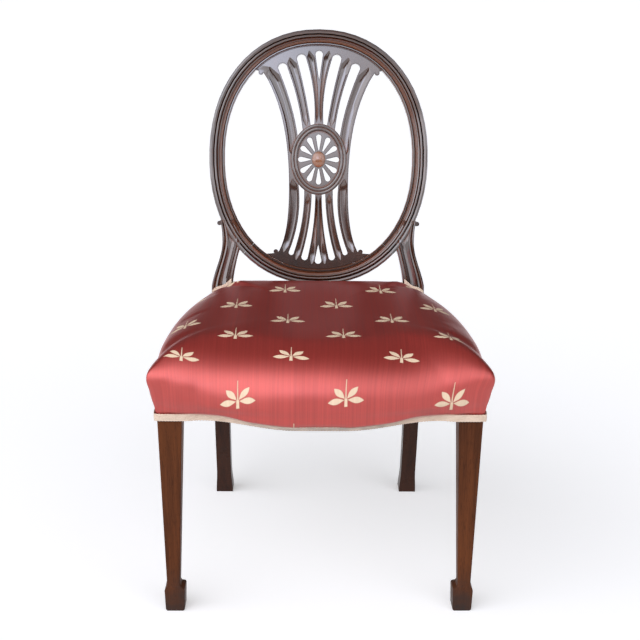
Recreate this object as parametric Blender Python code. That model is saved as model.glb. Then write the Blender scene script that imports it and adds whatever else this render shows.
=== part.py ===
"""Wheel back dining chair: an oval moulded back with a pierced fan splat, over a serpentine stuffed seat.

Metres, +Z up. The chair faces -Y. Its origin is on the floor, in the middle of its width and depth.
Heights are from the floor, and depths are from the front of the front legs, until the whole is centred.
"""

import math
from collections import namedtuple

import bmesh
import bpy
from mathutils import Matrix, Vector
from mathutils.bvhtree import BVHTree

# Fits
FIT = 0.0003
TENON_FIT = 0.0003

# Main sizes
SEAT_DEPTH = 0.406
RAIL_TOP = 0.4165
RAIL_HEIGHT = 0.0635
RAIL_BOTTOM = RAIL_TOP - RAIL_HEIGHT
LEG_OUTER = 0.2668
OVAL_HALF_WIDTH = 0.2122
OVAL_HALF_HEIGHT = 0.2455

# Oval back, in the plane of the back, from the middle of the oval
BACK_RAKE = math.radians(11.5)
OVAL_LIFT = 0.0471
OVAL_CENTRE_HEIGHT = RAIL_TOP + OVAL_LIFT + OVAL_HALF_HEIGHT
OVAL_FULLNESS = 2.16
OVAL_BAND = 0.03
OVAL_THICKNESS = 0.025
OVAL_BACK_ROUNDING = 0.003
OVAL_UPPER_JOINT = math.radians(43)
OVAL_LOWER_JOINT = math.radians(-48)
OVAL_STEPS = 16

# Moulding of the oval, from its outer edge inwards
OUTER_ROUND_RADIUS = 0.0045
ASTRAGAL_RADIUS = 0.0023
REED_RADIUS = 0.0011
COVE_RADIUS = 0.0028
INNER_BEAD_RADIUS = 0.0016
MOULDING_FILLET = 0.001
OUTER_ROUND_SETBACK = 0.0012
REED_SETBACK = 0.0016
COVE_SETBACK = 0.003
INNER_BEAD_SETBACK = 0.0034
GROOVE_DEPTH = 0.0055

# Joints of the oval
OVAL_TENON_LENGTH = 0.02
OVAL_TENON_WIDTH = 0.013
OVAL_TENON_THICKNESS = 0.007

# Splat
SPLAT_SETBACK = 0.0085
SPLAT_THICKNESS = 0.012
SPLAT_TENON_LENGTH = 0.008
SPLAT_TENON_THICKNESS = 0.006
SPLAT_TENON_REACH = math.radians(20)
SCROLL_RADIUS = 0.0045
SCROLL_NECK = 0.0065
FLUTE_DEPTH = 0.003
FLUTE_FILLET = 0.0026
FLUTE_FILLET_SHARE = 0.4
FLUTE_END = 0.02
FLUTE_STEPS = 12
SLOT_STEPS = 9

# Outline of the splat, as shares of the oval's half width and half height
SPLAT_WAIST_HALF_WIDTH = 0.2705 * OVAL_HALF_WIDTH
SPLAT_WAIST_HEIGHT = -0.2322 * OVAL_HALF_HEIGHT
UPPER_SCROLL_OUT = 0.5302 * OVAL_HALF_WIDTH
UPPER_SCROLL_HEIGHT = 0.668 * OVAL_HALF_HEIGHT
LOWER_SCROLL_OUT = 0.3911 * OVAL_HALF_WIDTH
LOWER_SCROLL_HEIGHT = -0.7373 * OVAL_HALF_HEIGHT
UPPER_EDGE_PULL = (0.3205 * OVAL_HALF_WIDTH, 0.4073 * OVAL_HALF_HEIGHT)
LOWER_EDGE_PULL = (0.2875 * OVAL_HALF_WIDTH, -0.611 * OVAL_HALF_HEIGHT)
UPPER_WAIST_PULL = 0.334 * OVAL_HALF_HEIGHT
LOWER_WAIST_PULL = 0.1955 * OVAL_HALF_HEIGHT

# Ribs of the fan: place at the wheel, lean and flare in one span, width there and widening in one span.
# Distances across are shares of the oval's half width, and distances along are shares of its half height.
Rib = namedtuple("Rib", "place lean flare width widening")
FAN_START = 0.2892
FAN_SPAN = 0.4073
UPPER_INNER_RIB = Rib(0.0198, -0.0221, 0.0556, 0.0396, 0.0353)
UPPER_MIDDLE_RIB = Rib(0.119, 0.073, 0.0393, 0.0778, 0.0283)
UPPER_OUTER_RIB = Rib(0.2686, 0.1037, 0.0707, 0.1037, 0.0401)
LOWER_FAN_START = 0.3218
LOWER_INNER_RIB = Rib(0.0153, 0.0075, 0.0221, 0.0306, 0.0448)
LOWER_MIDDLE_RIB = Rib(0.0978, 0.0179, 0.0627, 0.0683, 0.0118)
LOWER_OUTER_RIB = Rib(0.2215, -0.0038, 0.0971, 0.0943, 0.0057)
UPPER_SLOT_TOPS = (0.8106, 0.7413)
LOWER_SLOT_TOPS = (0.8065, 0.7658)
UPPER_FLUTE_TOPS = (0.835, 0.7821, 0.7088)
LOWER_FLUTE_TOPS = (0.835, 0.8024, 0.7413)

# Gaps between the two middle ribs: fork and round end, up the oval, and half width
UPPER_TEARDROP = (0.6069, 0.8391, 0.0339)
LOWER_TEARDROP = (0.6802, 0.835, 0.0311)

# Wheel of the splat
WHEEL_HEIGHT = -0.002
RING_HALF_WIDTH = 0.2545 * OVAL_HALF_WIDTH
RING_HALF_HEIGHT = 0.277 * OVAL_HALF_HEIGHT
RING_BAND = 0.0125
RING_RAISE = 0.0028
RING_BEAD_FOOT = 0.3
RING_BEAD_REACH = 0.9
RING_STEPS = 48
RING_MARGIN = 0.0006
DISH_DEPTH = 0.002
SPOKE_COUNT = 12
SPOKE_GAP_OUTER_HALF_WIDTH = 0.7407 * RING_HALF_WIDTH
SPOKE_GAP_OUTER_HALF_HEIGHT = 0.7132 * RING_HALF_HEIGHT
SPOKE_GAP_INNER_HALF_WIDTH = 0.287 * RING_HALF_WIDTH
SPOKE_GAP_INNER_HALF_HEIGHT = 0.2647 * RING_HALF_HEIGHT
SPOKE_GAP_RADIUS = 0.0963 * RING_HALF_WIDTH
SPOKE_GAP_POINT = 0.002
SPOKE_GAP_SWING = math.radians(103)
BOSS_HALF_WIDTH = 0.013
BOSS_HALF_HEIGHT = 0.0155
BOSS_RISE = 0.006
BOSS_TURNS = (0.35, 0.7, 1.05, 1.35)
BOSS_SPIGOT_RADIUS = 0.005
BOSS_SPIGOT_LENGTH = 0.007

# Rear posts
POST_BEND_START = RAIL_TOP - 0.032
POST_BEND_END = RAIL_TOP + 0.048
POST_ANKLE_WIDTH = 0.0295
POST_ANKLE_HEIGHT = 0.05
POST_FOOT_FLARE = 0.0025
POST_LEG_DEPTH = 0.032
POST_FOOT_SWEEP = 0.0615
POST_FOOT_SWEEP_POWER = 1.8
UPRIGHT_THICKNESS = 0.0235
UPRIGHT_SETBACK = 0.0006
EAR_RADIUS = 0.0045

# Edges of the uprights, as shares of the oval's half width and half height
UPRIGHT_FOOT = -1.0086 * OVAL_HALF_HEIGHT
UPRIGHT_NECK = -0.642 * OVAL_HALF_HEIGHT
UPRIGHT_TOP = -0.4888 * OVAL_HALF_HEIGHT
UPRIGHT_OUTER = [share * OVAL_HALF_WIDTH for share in (0.9802, 0.9566, 0.8718, 0.8813)]
UPRIGHT_INNER = [share * OVAL_HALF_WIDTH for share in (0.787, 0.7776, 0.7399, 0.6975)]
UPRIGHT_TOP_OUTER = 0.9001 * OVAL_HALF_WIDTH
UPRIGHT_TOP_INNER = 0.7682 * OVAL_HALF_WIDTH
EAR_OUT = 0.9072 * OVAL_HALF_WIDTH
EAR_HEIGHT = -0.5132 * OVAL_HALF_HEIGHT
POST_OUTER = UPRIGHT_OUTER[0]
POST_SEAT_WIDTH = UPRIGHT_OUTER[0] - UPRIGHT_INNER[0]

# Front legs
LEG_LEAN = 0.0067
LEG_WIDTH = 0.0404
LEG_ANKLE_WIDTH = 0.0222
LEG_EDGE = 0.0015
SPADE_TOP = 0.052
SPADE_SHOULDER = 0.042
SPADE_WIDTH = 0.0347
SPADE_BOTTOM_WIDTH = 0.0325
SPADE_OUTER_FLARE = 0.0042
SPADE_TOE = 0.003
SPADE_EDGE = 0.0006

# Seat frame
FRONT_RAIL_THICKNESS = 0.028
SIDE_RAIL_THICKNESS = 0.026
REAR_RAIL_FRONT = SEAT_DEPTH + 0.004
REAR_RAIL_THICKNESS = 0.0245
FRONT_BOW = 0.044
FRONT_BOW_FLAT = 0.1546 * (LEG_OUTER - LEG_WIDTH)
FRONT_BOW_END = 0.8613 * (LEG_OUTER - LEG_WIDTH)
FRONT_HOLLOW = 0.004
SIDE_OVERHANG = 0.0004
SIDE_TUCK = LEG_OUTER - POST_OUTER + SIDE_OVERHANG
SIDE_TUCK_POWER = 2.65
FRONT_STEPS = 18
SIDE_STEPS = 8
RAIL_TENON_HEIGHT = 0.046
RAIL_TENON_THICKNESS = 0.01
FRONT_TENON_LENGTH = 0.594 * LEG_WIDTH
SIDE_TENON_LENGTH = 0.396 * LEG_WIDTH
REAR_TENON_LENGTH = 0.011
LEG_MORTISE_SETBACK = 0.2723 * LEG_WIDTH
SIDE_TENON_INSET = 0.014
BLOCK_BOTTOM = RAIL_BOTTOM + 0.009
BLOCK_HEIGHT = 0.036
FRONT_BLOCK_REACH = 0.062
REAR_BLOCK_REACH = 0.07

# Webbing and base cloth
WEB_WIDTH = 0.05
WEB_THICKNESS = 0.0018
LONG_WEBS = [share * POST_OUTER for share in (-0.6346, -0.2115, 0.2115, 0.6346)]
CROSS_WEBS = [share * SEAT_DEPTH for share in (0.234, 0.4926, 0.7512)]
WEB_INSET = 0.006
CLOTH_THICKNESS = 0.001
CLOTH_INSET = 0.008

# Seat pad
COVER_THICKNESS = 0.0015
COVER_STAND = 0.0022
COVER_BOTTOM = RAIL_BOTTOM + 0.0035
COVER_REAR_BOTTOM = RAIL_TOP - 0.022
PAD_BACK = SEAT_DEPTH + 0.0035
PAD_BULGE = 0.0175
PAD_SIDE_BULGE = 0.008
PAD_REAR_BULGE = 0.003
PAD_CORNER_REACH = 0.045
PAD_RISE = 0.0695
PAD_CROWN = RAIL_TOP + PAD_RISE
PAD_WIDEST = RAIL_TOP + 0.006
PAD_REAR_WIDEST = PAD_CROWN - 0.0175
PAD_SQUARENESS = 3.6
PAD_CENTRE = 0.4926 * SEAT_DEPTH
PAD_POST_GAP = 0.004
REAR_CORNER_STEPS = 3
STUFFING_REBATE = 0.002
STUFFING_FLOOR_SHARE = 0.5

# Gimp braid
GIMP_WIDTH = 0.012
GIMP_THICKNESS = 0.002
GIMP_EDGE = 0.0014
GIMP_REAR_END_GAP = 0.002
GIMP_STAND = 0.0009
POST_GIMP_STEPS = 8

# Finishes: colour and roughness
MAHOGANY = ((0.105, 0.036, 0.019), 0.3)
LIGHT_MAHOGANY = ((0.25, 0.085, 0.035), 0.35)
RAIL_WOOD = ((0.33, 0.2, 0.1), 0.65)
SATIN = ((0.26, 0.03, 0.027), 0.45)
BRAID = ((0.72, 0.56, 0.41), 0.85)
WEB_CLOTH = ((0.42, 0.33, 0.2), 0.9)
BASE_CLOTH = ((0.48, 0.36, 0.22), 0.95)
STUFFING = ((0.6, 0.52, 0.4), 0.95)


for old in list(bpy.data.objects):
    bpy.data.objects.remove(old, do_unlink=True)


# Objects and modifiers

def new_empty(name, parent=None):
    empty = bpy.data.objects.new(name, None)
    bpy.context.scene.collection.objects.link(empty)
    empty.parent = parent
    return empty


def new_material(name, look):
    colour, roughness = look
    material = bpy.data.materials.new(name)
    material.use_nodes = True
    shader = material.node_tree.nodes["Principled BSDF"]
    shader.inputs["Base Color"].default_value = (*colour, 1)
    shader.inputs["Roughness"].default_value = roughness
    shader.inputs["Metallic"].default_value = 0
    return material


def new_object(name, shape, parent, look=None):
    """An object from a bmesh. Without a look it is a tool for a Boolean."""
    bmesh.ops.recalc_face_normals(shape, faces=shape.faces[:])
    mesh = bpy.data.meshes.new(name)
    shape.to_mesh(mesh)
    shape.free()
    made = bpy.data.objects.new(name, mesh)
    bpy.context.scene.collection.objects.link(made)
    made.parent = parent
    if look:
        mesh.shade_smooth()
        mesh.set_sharp_from_angle(angle=math.radians(35))
        mesh.materials.append(new_material(name + "_finish", look))
    else:
        made.hide_render = True
        made.display_type = "WIRE"
    return made


def combine(target, tool, operation, solver):
    modifier = target.modifiers.new(tool.name, "BOOLEAN")
    modifier.operation = operation
    modifier.object = tool
    modifier.solver = solver


def join_to(target, tool, solver="EXACT"):
    combine(target, tool, "UNION", solver)


def cut_from(target, tool, solver="EXACT"):
    combine(target, tool, "DIFFERENCE", solver)


# Shapes

def skin(shape, rings, loop=False):
    """Faces between rings of points. A row of rings gets caps, and a loop of rings closes on itself."""
    rows = [[shape.verts.new(point) for point in ring] for ring in rings]
    pairs = list(zip(rows, rows[1:]))
    if loop:
        pairs.append((rows[-1], rows[0]))
    for low, high in pairs:
        for i in range(len(low)):
            j = (i + 1) % len(low)
            shape.faces.new((low[i], low[j], high[j], high[i]))
    if not loop:
        shape.faces.new(rows[0][::-1])
        shape.faces.new(rows[-1])


def lofted(rings, loop=False):
    shape = bmesh.new()
    skin(shape, rings, loop)
    return shape


def block(low, high):
    """A box between two corners."""
    ring = [(low[0], low[1]), (high[0], low[1]), (high[0], high[1]), (low[0], high[1])]
    return lofted([[(x, y, z) for x, y in ring] for z in (low[2], high[2])])


def prism(outline, low, high):
    """An outline in plan, drawn up between two heights."""
    return lofted([[(x, y, z) for x, y in outline] for z in (low, high)])


def plate(loops, front, back):
    """Outlines in the plane of the back, the first the outside and the rest holes, as a plate."""
    shape = bmesh.new()
    for outline in loops:
        corners = [shape.verts.new((x, front, z)) for x, z in outline]
        for start, end in zip(corners, corners[1:] + corners[:1]):
            shape.edges.new((start, end))
    bmesh.ops.triangle_fill(shape, edges=shape.edges[:], normal=(0, -1, 0))
    pushed = bmesh.ops.extrude_face_region(shape, geom=shape.faces[:])
    moved = [item for item in pushed["geom"] if isinstance(item, bmesh.types.BMVert)]
    bmesh.ops.translate(shape, verts=moved, vec=(0, back - front, 0))
    return shape


def bezier(values, share):
    """Value of the Bezier curve with these control values."""
    while len(values) > 1:
        values = [a + (b - a) * share for a, b in zip(values, values[1:])]
    return values[0]


def shares(count):
    return [i / count for i in range(count + 1)]


def mixed(low, high, share):
    return low + (high - low) * share


def eased(share):
    """A share that leaves 0 and reaches 1 gently."""
    share = min(max(share, 0), 1)
    return (1 - math.cos(math.pi * share)) / 2


def mirrored(points, side):
    return [(side * x, *rest) for x, *rest in points]


# The chair's frames

chair = new_empty("chair")
OVAL_CENTRE_DEPTH = SEAT_DEPTH + math.tan(BACK_RAKE) * (
    OVAL_CENTRE_HEIGHT - (POST_BEND_START + POST_BEND_END) / 2
)
back = new_empty("back", chair)
back.location = (0, OVAL_CENTRE_DEPTH, OVAL_CENTRE_HEIGHT)
back.rotation_euler = (-BACK_RAKE, 0, 0)
back_to_chair = Matrix.Translation(back.location) @ Matrix.Rotation(-BACK_RAKE, 4, "X")


# Oval back

def oval_point(angle, out):
    """A point in the plane of the back, off the middle line of the oval band, and the way out there."""
    half_width = OVAL_HALF_WIDTH - OVAL_BAND / 2
    half_height = OVAL_HALF_HEIGHT - OVAL_BAND / 2
    across = math.copysign(abs(math.cos(angle)) ** (2 / OVAL_FULLNESS), math.cos(angle))
    up = math.copysign(abs(math.sin(angle)) ** (2 / OVAL_FULLNESS), math.sin(angle))
    slope = Vector((
        math.copysign(abs(across) ** (OVAL_FULLNESS - 1) / half_width, across),
        math.copysign(abs(up) ** (OVAL_FULLNESS - 1) / half_height, up),
    )).normalized()
    return Vector((across * half_width, up * half_height)) + slope * out, slope


def arc(out, setback, radius, count, hollow=False):
    """Points of a bead, or of a hollow, that starts at this place and runs inwards."""
    points = []
    for share in shares(count):
        swell = math.sin(math.pi * share)
        depth = radius * (swell if hollow else 1 - swell)
        points.append((out - radius * (1 - math.cos(math.pi * share)), setback + depth))
    return points


def oval_profile():
    """The band in section: how far out from its middle line, and how far behind its front."""
    out = OVAL_BAND / 2
    points = [(out, OVAL_THICKNESS - OVAL_BACK_ROUNDING)]
    points += arc(out, OUTER_ROUND_SETBACK, OUTER_ROUND_RADIUS, 4)
    out -= 2 * OUTER_ROUND_RADIUS
    points += [(out, GROOVE_DEPTH + MOULDING_FILLET)]
    out -= MOULDING_FILLET
    points += [(out, GROOVE_DEPTH)]
    points += arc(out, 0, ASTRAGAL_RADIUS, 4)
    out -= 2 * ASTRAGAL_RADIUS + MOULDING_FILLET
    points += [(out + MOULDING_FILLET / 2, GROOVE_DEPTH - MOULDING_FILLET)]
    points += arc(out, REED_SETBACK, REED_RADIUS, 2)
    out -= 2 * REED_RADIUS + MOULDING_FILLET
    points += arc(out, COVE_SETBACK, COVE_RADIUS, 4, hollow=True)
    out -= 2 * COVE_RADIUS + MOULDING_FILLET
    points += arc(out, INNER_BEAD_SETBACK, INNER_BEAD_RADIUS, 3)
    out -= 2 * INNER_BEAD_RADIUS
    points += [(out, SPLAT_SETBACK - MOULDING_FILLET)]
    points += [(-OVAL_BAND / 2, SPLAT_SETBACK - MOULDING_FILLET)]
    points += [(-OVAL_BAND / 2, OVAL_THICKNESS - OVAL_BACK_ROUNDING)]
    points += [(OVAL_BACK_ROUNDING - OVAL_BAND / 2, OVAL_THICKNESS)]
    points += [(OVAL_BAND / 2 - OVAL_BACK_ROUNDING, OVAL_THICKNESS)]
    return points


def oval_sweep(profile, start, end, steps):
    rings = []
    for share in shares(steps):
        ring = []
        for out, depth in profile:
            point, _ = oval_point(mixed(start, end, share), out)
            ring.append((point.x, depth, point.y))
        rings.append(ring)
    return lofted(rings)


def oval_tenon(angle, turn, fit):
    """A tenon that leaves the oval's joint at this angle. Turn is 1 where it runs on with the angle."""
    place, outward = oval_point(angle, 0)
    along = Vector((-outward.y, outward.x)) * turn
    middle = (SPLAT_SETBACK + OVAL_THICKNESS) / 2
    rings = []
    for reach in (-OVAL_TENON_LENGTH / 4, OVAL_TENON_LENGTH + fit):
        ring = []
        for across, deep in ((-1, -1), (1, -1), (1, 1), (-1, 1)):
            point = place + along * reach + outward * across * (OVAL_TENON_WIDTH / 2 + fit)
            ring.append((point.x, middle + deep * (OVAL_TENON_THICKNESS / 2 + fit), point.y))
        rings.append(ring)
    return lofted(rings)


JOINT_GAP = FIT / 2 / OVAL_HALF_WIDTH
crest_start = OVAL_UPPER_JOINT + JOINT_GAP
crest_sweep = oval_sweep(oval_profile(), crest_start, math.pi - crest_start, OVAL_STEPS)
crest_rail = new_object("crest_rail", crest_sweep, back, MAHOGANY)
lower_end = OVAL_LOWER_JOINT - JOINT_GAP
lower_sweep = oval_sweep(oval_profile(), math.pi - lower_end, math.tau + lower_end, OVAL_STEPS)
lower_oval_rail = new_object("lower_oval_rail", lower_sweep, back, MAHOGANY)


# Rear posts

def post_front(height):
    """Depth of the front plane of a post at this height: swept leg, upright at the seat, then raked."""
    if height < POST_BEND_START:
        share = (POST_BEND_START - height) / POST_BEND_START
        return SEAT_DEPTH + POST_FOOT_SWEEP * share ** POST_FOOT_SWEEP_POWER
    bend = POST_BEND_END - POST_BEND_START
    into = min(height - POST_BEND_START, bend)
    above = max(height - POST_BEND_END, 0)
    return SEAT_DEPTH + math.tan(BACK_RAKE) * (into ** 2 / (2 * bend) + above)


def post_width(height):
    seat_height = back_to_chair @ Vector((0, 0, UPRIGHT_FOOT))
    return mixed(POST_ANKLE_WIDTH, POST_SEAT_WIDTH, (height / seat_height.z) ** 3)


# Front of the upright in section: share of the width from the outer edge in, and depth of the moulding
POST_MOULDING = (
    (0, 0.0022), (0.05, 0.0004), (0.1, 0.0008), (0.14, 0.0034),
    (0.2, 0.0006), (0.27, 0), (0.33, 0.0026), (0.48, 0.0046), (0.62, 0.0032),
    (0.68, 0.0008), (0.77, 0.0006), (0.83, 0.003), (0.92, 0.0026), (1, 0.0045),
)


def upright_edges(height):
    """Outer and inner edge of an upright at this height in the plane of the back."""
    if height <= UPRIGHT_NECK:
        share = (height - UPRIGHT_FOOT) / (UPRIGHT_NECK - UPRIGHT_FOOT)
        return bezier(UPRIGHT_OUTER, share), bezier(UPRIGHT_INNER, share)
    share = (height - UPRIGHT_NECK) / (UPRIGHT_TOP - UPRIGHT_NECK)
    outer = bezier((UPRIGHT_OUTER[-1], UPRIGHT_OUTER[-1], UPRIGHT_TOP_OUTER), share)
    return outer, mixed(UPRIGHT_INNER[-1], UPRIGHT_TOP_INNER, share)


def post_rings():
    rings = []
    for share in shares(3)[:-1]:
        rings.append((POST_ANKLE_HEIGHT * share, POST_FOOT_FLARE * eased(1 - share)))
    for share in shares(7):
        rings.append((mixed(POST_ANKLE_HEIGHT, POST_BEND_START, share), 0))
    for share in shares(3)[1:]:
        rings.append((mixed(POST_BEND_START, (POST_BEND_START + POST_BEND_END) / 2, share), 0))
    made = []
    for height, flare in rings:
        outer = POST_OUTER + flare
        inner = POST_OUTER - post_width(height) - flare
        front = post_front(height) - flare
        rear = post_front(height) + POST_LEG_DEPTH + flare
        ring = [(mixed(outer, inner, share), front, height) for share, _ in POST_MOULDING]
        made.append(ring + [(inner, rear, height), (outer, rear, height)])
    for share in shares(15):
        height = mixed(UPRIGHT_FOOT, UPRIGHT_TOP, share)
        outer, inner = upright_edges(height)
        ring = [(mixed(outer, inner, at), UPRIGHT_SETBACK + depth, height) for at, depth in POST_MOULDING]
        ring += [(inner, UPRIGHT_THICKNESS, height), (outer, UPRIGHT_THICKNESS, height)]
        made.append([tuple(back_to_chair @ Vector(point)) for point in ring])
    return made


def ear(side):
    steps = 12
    rings = []
    for depth in (UPRIGHT_SETBACK + EAR_RADIUS / 4, UPRIGHT_THICKNESS - EAR_RADIUS / 2):
        rings.append([
            (
                side * (EAR_OUT + EAR_RADIUS * math.cos(math.tau * i / steps)),
                depth,
                EAR_HEIGHT + EAR_RADIUS * math.sin(math.tau * i / steps),
            )
            for i in range(steps)
        ])
    return lofted(rings)


posts = {}
for side, word in ((-1, "left"), (1, "right")):
    name = "rear_post_" + word
    post = new_object(name, lofted([mirrored(ring, side) for ring in post_rings()]), chair, MAHOGANY)
    first, last = OVAL_LOWER_JOINT, OVAL_UPPER_JOINT
    if side < 0:
        first, last = math.pi - OVAL_UPPER_JOINT, math.pi - OVAL_LOWER_JOINT
    stile = oval_sweep(oval_profile(), first + JOINT_GAP, last - JOINT_GAP, OVAL_STEPS)
    join_to(post, new_object(name + "_stile", stile, back))
    join_to(post, new_object(name + "_ear", ear(side), back))
    for rail, angle, turn in (
        (crest_rail, OVAL_UPPER_JOINT, -1),
        (lower_oval_rail, OVAL_LOWER_JOINT, 1),
    ):
        if side < 0:
            angle, turn = math.pi - angle, -turn
        tenon_name = rail.name + "_tenon_" + word
        join_to(rail, new_object(tenon_name, oval_tenon(angle, turn, 0), back))
        cut_from(post, new_object(tenon_name + "_mortise", oval_tenon(angle, turn, TENON_FIT), back))
    posts[side] = post


# Splat

def rib_at(rib, start, height):
    """Middle and half width of a rib at this distance from the middle of the oval."""
    along = (height / OVAL_HALF_HEIGHT - start) / FAN_SPAN
    middle = rib.place + rib.lean * along + rib.flare * along ** 2
    half = (rib.width + rib.widening * max(along, 0) ** 2) / 2
    return middle * OVAL_HALF_WIDTH, half * OVAL_HALF_WIDTH


def ring_edge(across, direction):
    """Distance from the middle of the oval to the outside of the wheel's ring, at this distance across."""
    share = across / (RING_HALF_WIDTH + RING_MARGIN)
    rise = (RING_HALF_HEIGHT + RING_MARGIN) * math.sqrt(max(1 - share ** 2, 0))
    return rise + direction * WHEEL_HEIGHT


def slot(inner_rib, outer_rib, start, top, direction, side):
    """Outline of the gap between two ribs, from the wheel's ring to its round end."""

    def edges(height):
        inner, inner_half = rib_at(inner_rib, start, height)
        outer, outer_half = rib_at(outer_rib, start, height)
        return inner + inner_half, outer - outer_half

    top = top * OVAL_HALF_HEIGHT
    feet = []
    for edge in (0, 1):
        height = start * OVAL_HALF_HEIGHT
        for _ in range(12):
            height = ring_edge(edges(height)[edge], direction)
        feet.append(height)
    near, far = edges(top)
    round_end = (far - near) / 2
    lines = []
    for edge in (0, 1):
        heights = [mixed(feet[edge], top - round_end, share) for share in shares(SLOT_STEPS)]
        lines.append([(edges(height)[edge], height) for height in heights])
    near, far = lines[0][-1][0], lines[1][-1][0]
    cap = [
        (
            (near + far) / 2 - (far - near) / 2 * math.cos(math.pi * share),
            top - round_end + round_end * math.sin(math.pi * share),
        )
        for share in shares(6)[1:-1]
    ]
    foot = []
    for share in shares(4)[1:-1]:
        across = mixed(lines[1][0][0], lines[0][0][0], share)
        foot.append((across, ring_edge(across, direction)))
    outline = lines[0] + cap + lines[1][::-1] + foot
    return [(side * across, direction * height) for across, height in outline]


def teardrop(sizes, direction):
    """Outline of the gap between the two middle ribs: a point at the fork and a round end."""
    fork, top = (share * OVAL_HALF_HEIGHT for share in sizes[:2])
    half = sizes[2] * OVAL_HALF_WIDTH
    outline = [(0, fork)]
    for share in shares(8):
        turn = math.pi * share
        outline.append((half * math.cos(turn), top - half + half * math.sin(turn)))
    return [(across, direction * height) for across, height in outline]


def spoke_gap(index):
    """Outline of one of the wheel's openings: a point at the hub and a round end at the rim."""
    turn = math.tau * index / SPOKE_COUNT
    out = Vector((math.sin(turn), math.cos(turn)))
    far = Vector((out.x * SPOKE_GAP_OUTER_HALF_WIDTH, out.y * SPOKE_GAP_OUTER_HALF_HEIGHT))
    near = Vector((out.x * SPOKE_GAP_INNER_HALF_WIDTH, out.y * SPOKE_GAP_INNER_HALF_HEIGHT))
    along = (far - near).normalized()
    across = Vector((along.y, -along.x))
    middle = far - along * SPOKE_GAP_RADIUS
    points = [near + across * SPOKE_GAP_POINT / 2, near - across * SPOKE_GAP_POINT / 2]
    for share in shares(6):
        swing = mixed(-SPOKE_GAP_SWING, SPOKE_GAP_SWING, share)
        points.append(middle + SPOKE_GAP_RADIUS * (along * math.cos(swing) + across * math.sin(swing)))
    return [(point.x, point.y + WHEEL_HEIGHT) for point in points]


def oval_angle(out, height):
    """The angle, right of the middle, at which the oval's band reaches this height."""
    low, high = -math.pi / 2, math.pi / 2
    for _ in range(40):
        middle = (low + high) / 2
        if oval_point(middle, out)[0].y < height:
            low = middle
        else:
            high = middle
    return low


def scroll(out, height, start, end):
    return [
        (
            out + SCROLL_RADIUS * math.cos(math.radians(mixed(start, end, share))),
            height + SCROLL_RADIUS * math.sin(math.radians(mixed(start, end, share))),
        )
        for share in shares(6)
    ]


SPLAT_EDGE = -OVAL_BAND / 2 - FIT


def splat_outline():
    """The right half of the splat's outside, from the top down, then the left half up again."""
    half = []
    top = oval_angle(SPLAT_EDGE, UPPER_SCROLL_HEIGHT + SCROLL_RADIUS)
    for share in shares(10):
        point, _ = oval_point(mixed(math.pi / 2, top, share), SPLAT_EDGE)
        half.append((point.x, point.y))
    half += scroll(UPPER_SCROLL_OUT, UPPER_SCROLL_HEIGHT, 50, -190)
    upper = (
        (UPPER_SCROLL_OUT - SCROLL_NECK, UPPER_SCROLL_HEIGHT - SCROLL_RADIUS / 4),
        UPPER_EDGE_PULL,
        (SPLAT_WAIST_HALF_WIDTH, SPLAT_WAIST_HEIGHT + UPPER_WAIST_PULL),
        (SPLAT_WAIST_HALF_WIDTH, SPLAT_WAIST_HEIGHT),
    )
    lower = (
        (SPLAT_WAIST_HALF_WIDTH, SPLAT_WAIST_HEIGHT),
        (SPLAT_WAIST_HALF_WIDTH, SPLAT_WAIST_HEIGHT - LOWER_WAIST_PULL),
        LOWER_EDGE_PULL,
        (LOWER_SCROLL_OUT - SCROLL_NECK, LOWER_SCROLL_HEIGHT + SCROLL_RADIUS / 4),
    )
    for curve, count in ((upper, 14), (lower, 9)):
        for share in shares(count)[1:]:
            half.append(tuple(bezier([corner[axis] for corner in curve], share) for axis in (0, 1)))
    half += scroll(LOWER_SCROLL_OUT, LOWER_SCROLL_HEIGHT, 190, -50)
    bottom = oval_angle(SPLAT_EDGE, LOWER_SCROLL_HEIGHT - SCROLL_RADIUS)
    for share in shares(10):
        point, _ = oval_point(mixed(bottom, -math.pi / 2, share), SPLAT_EDGE)
        half.append((point.x, point.y))
    return half + [(-across, height) for across, height in half[-2:0:-1]]


def splat_loops():
    loops = [splat_outline()]
    for direction, ribs, start, tops in (
        (1, (UPPER_INNER_RIB, UPPER_MIDDLE_RIB, UPPER_OUTER_RIB), FAN_START, UPPER_SLOT_TOPS),
        (-1, (LOWER_INNER_RIB, LOWER_MIDDLE_RIB, LOWER_OUTER_RIB), LOWER_FAN_START, LOWER_SLOT_TOPS),
    ):
        for inner, outer, top in zip(ribs, ribs[1:], tops):
            for side in (-1, 1):
                loops.append(slot(inner, outer, start, top, direction, side))
    loops.append(teardrop(UPPER_TEARDROP, 1))
    loops.append(teardrop(LOWER_TEARDROP, -1))
    loops += [spoke_gap(index) for index in range(SPOKE_COUNT)]
    return loops


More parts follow.
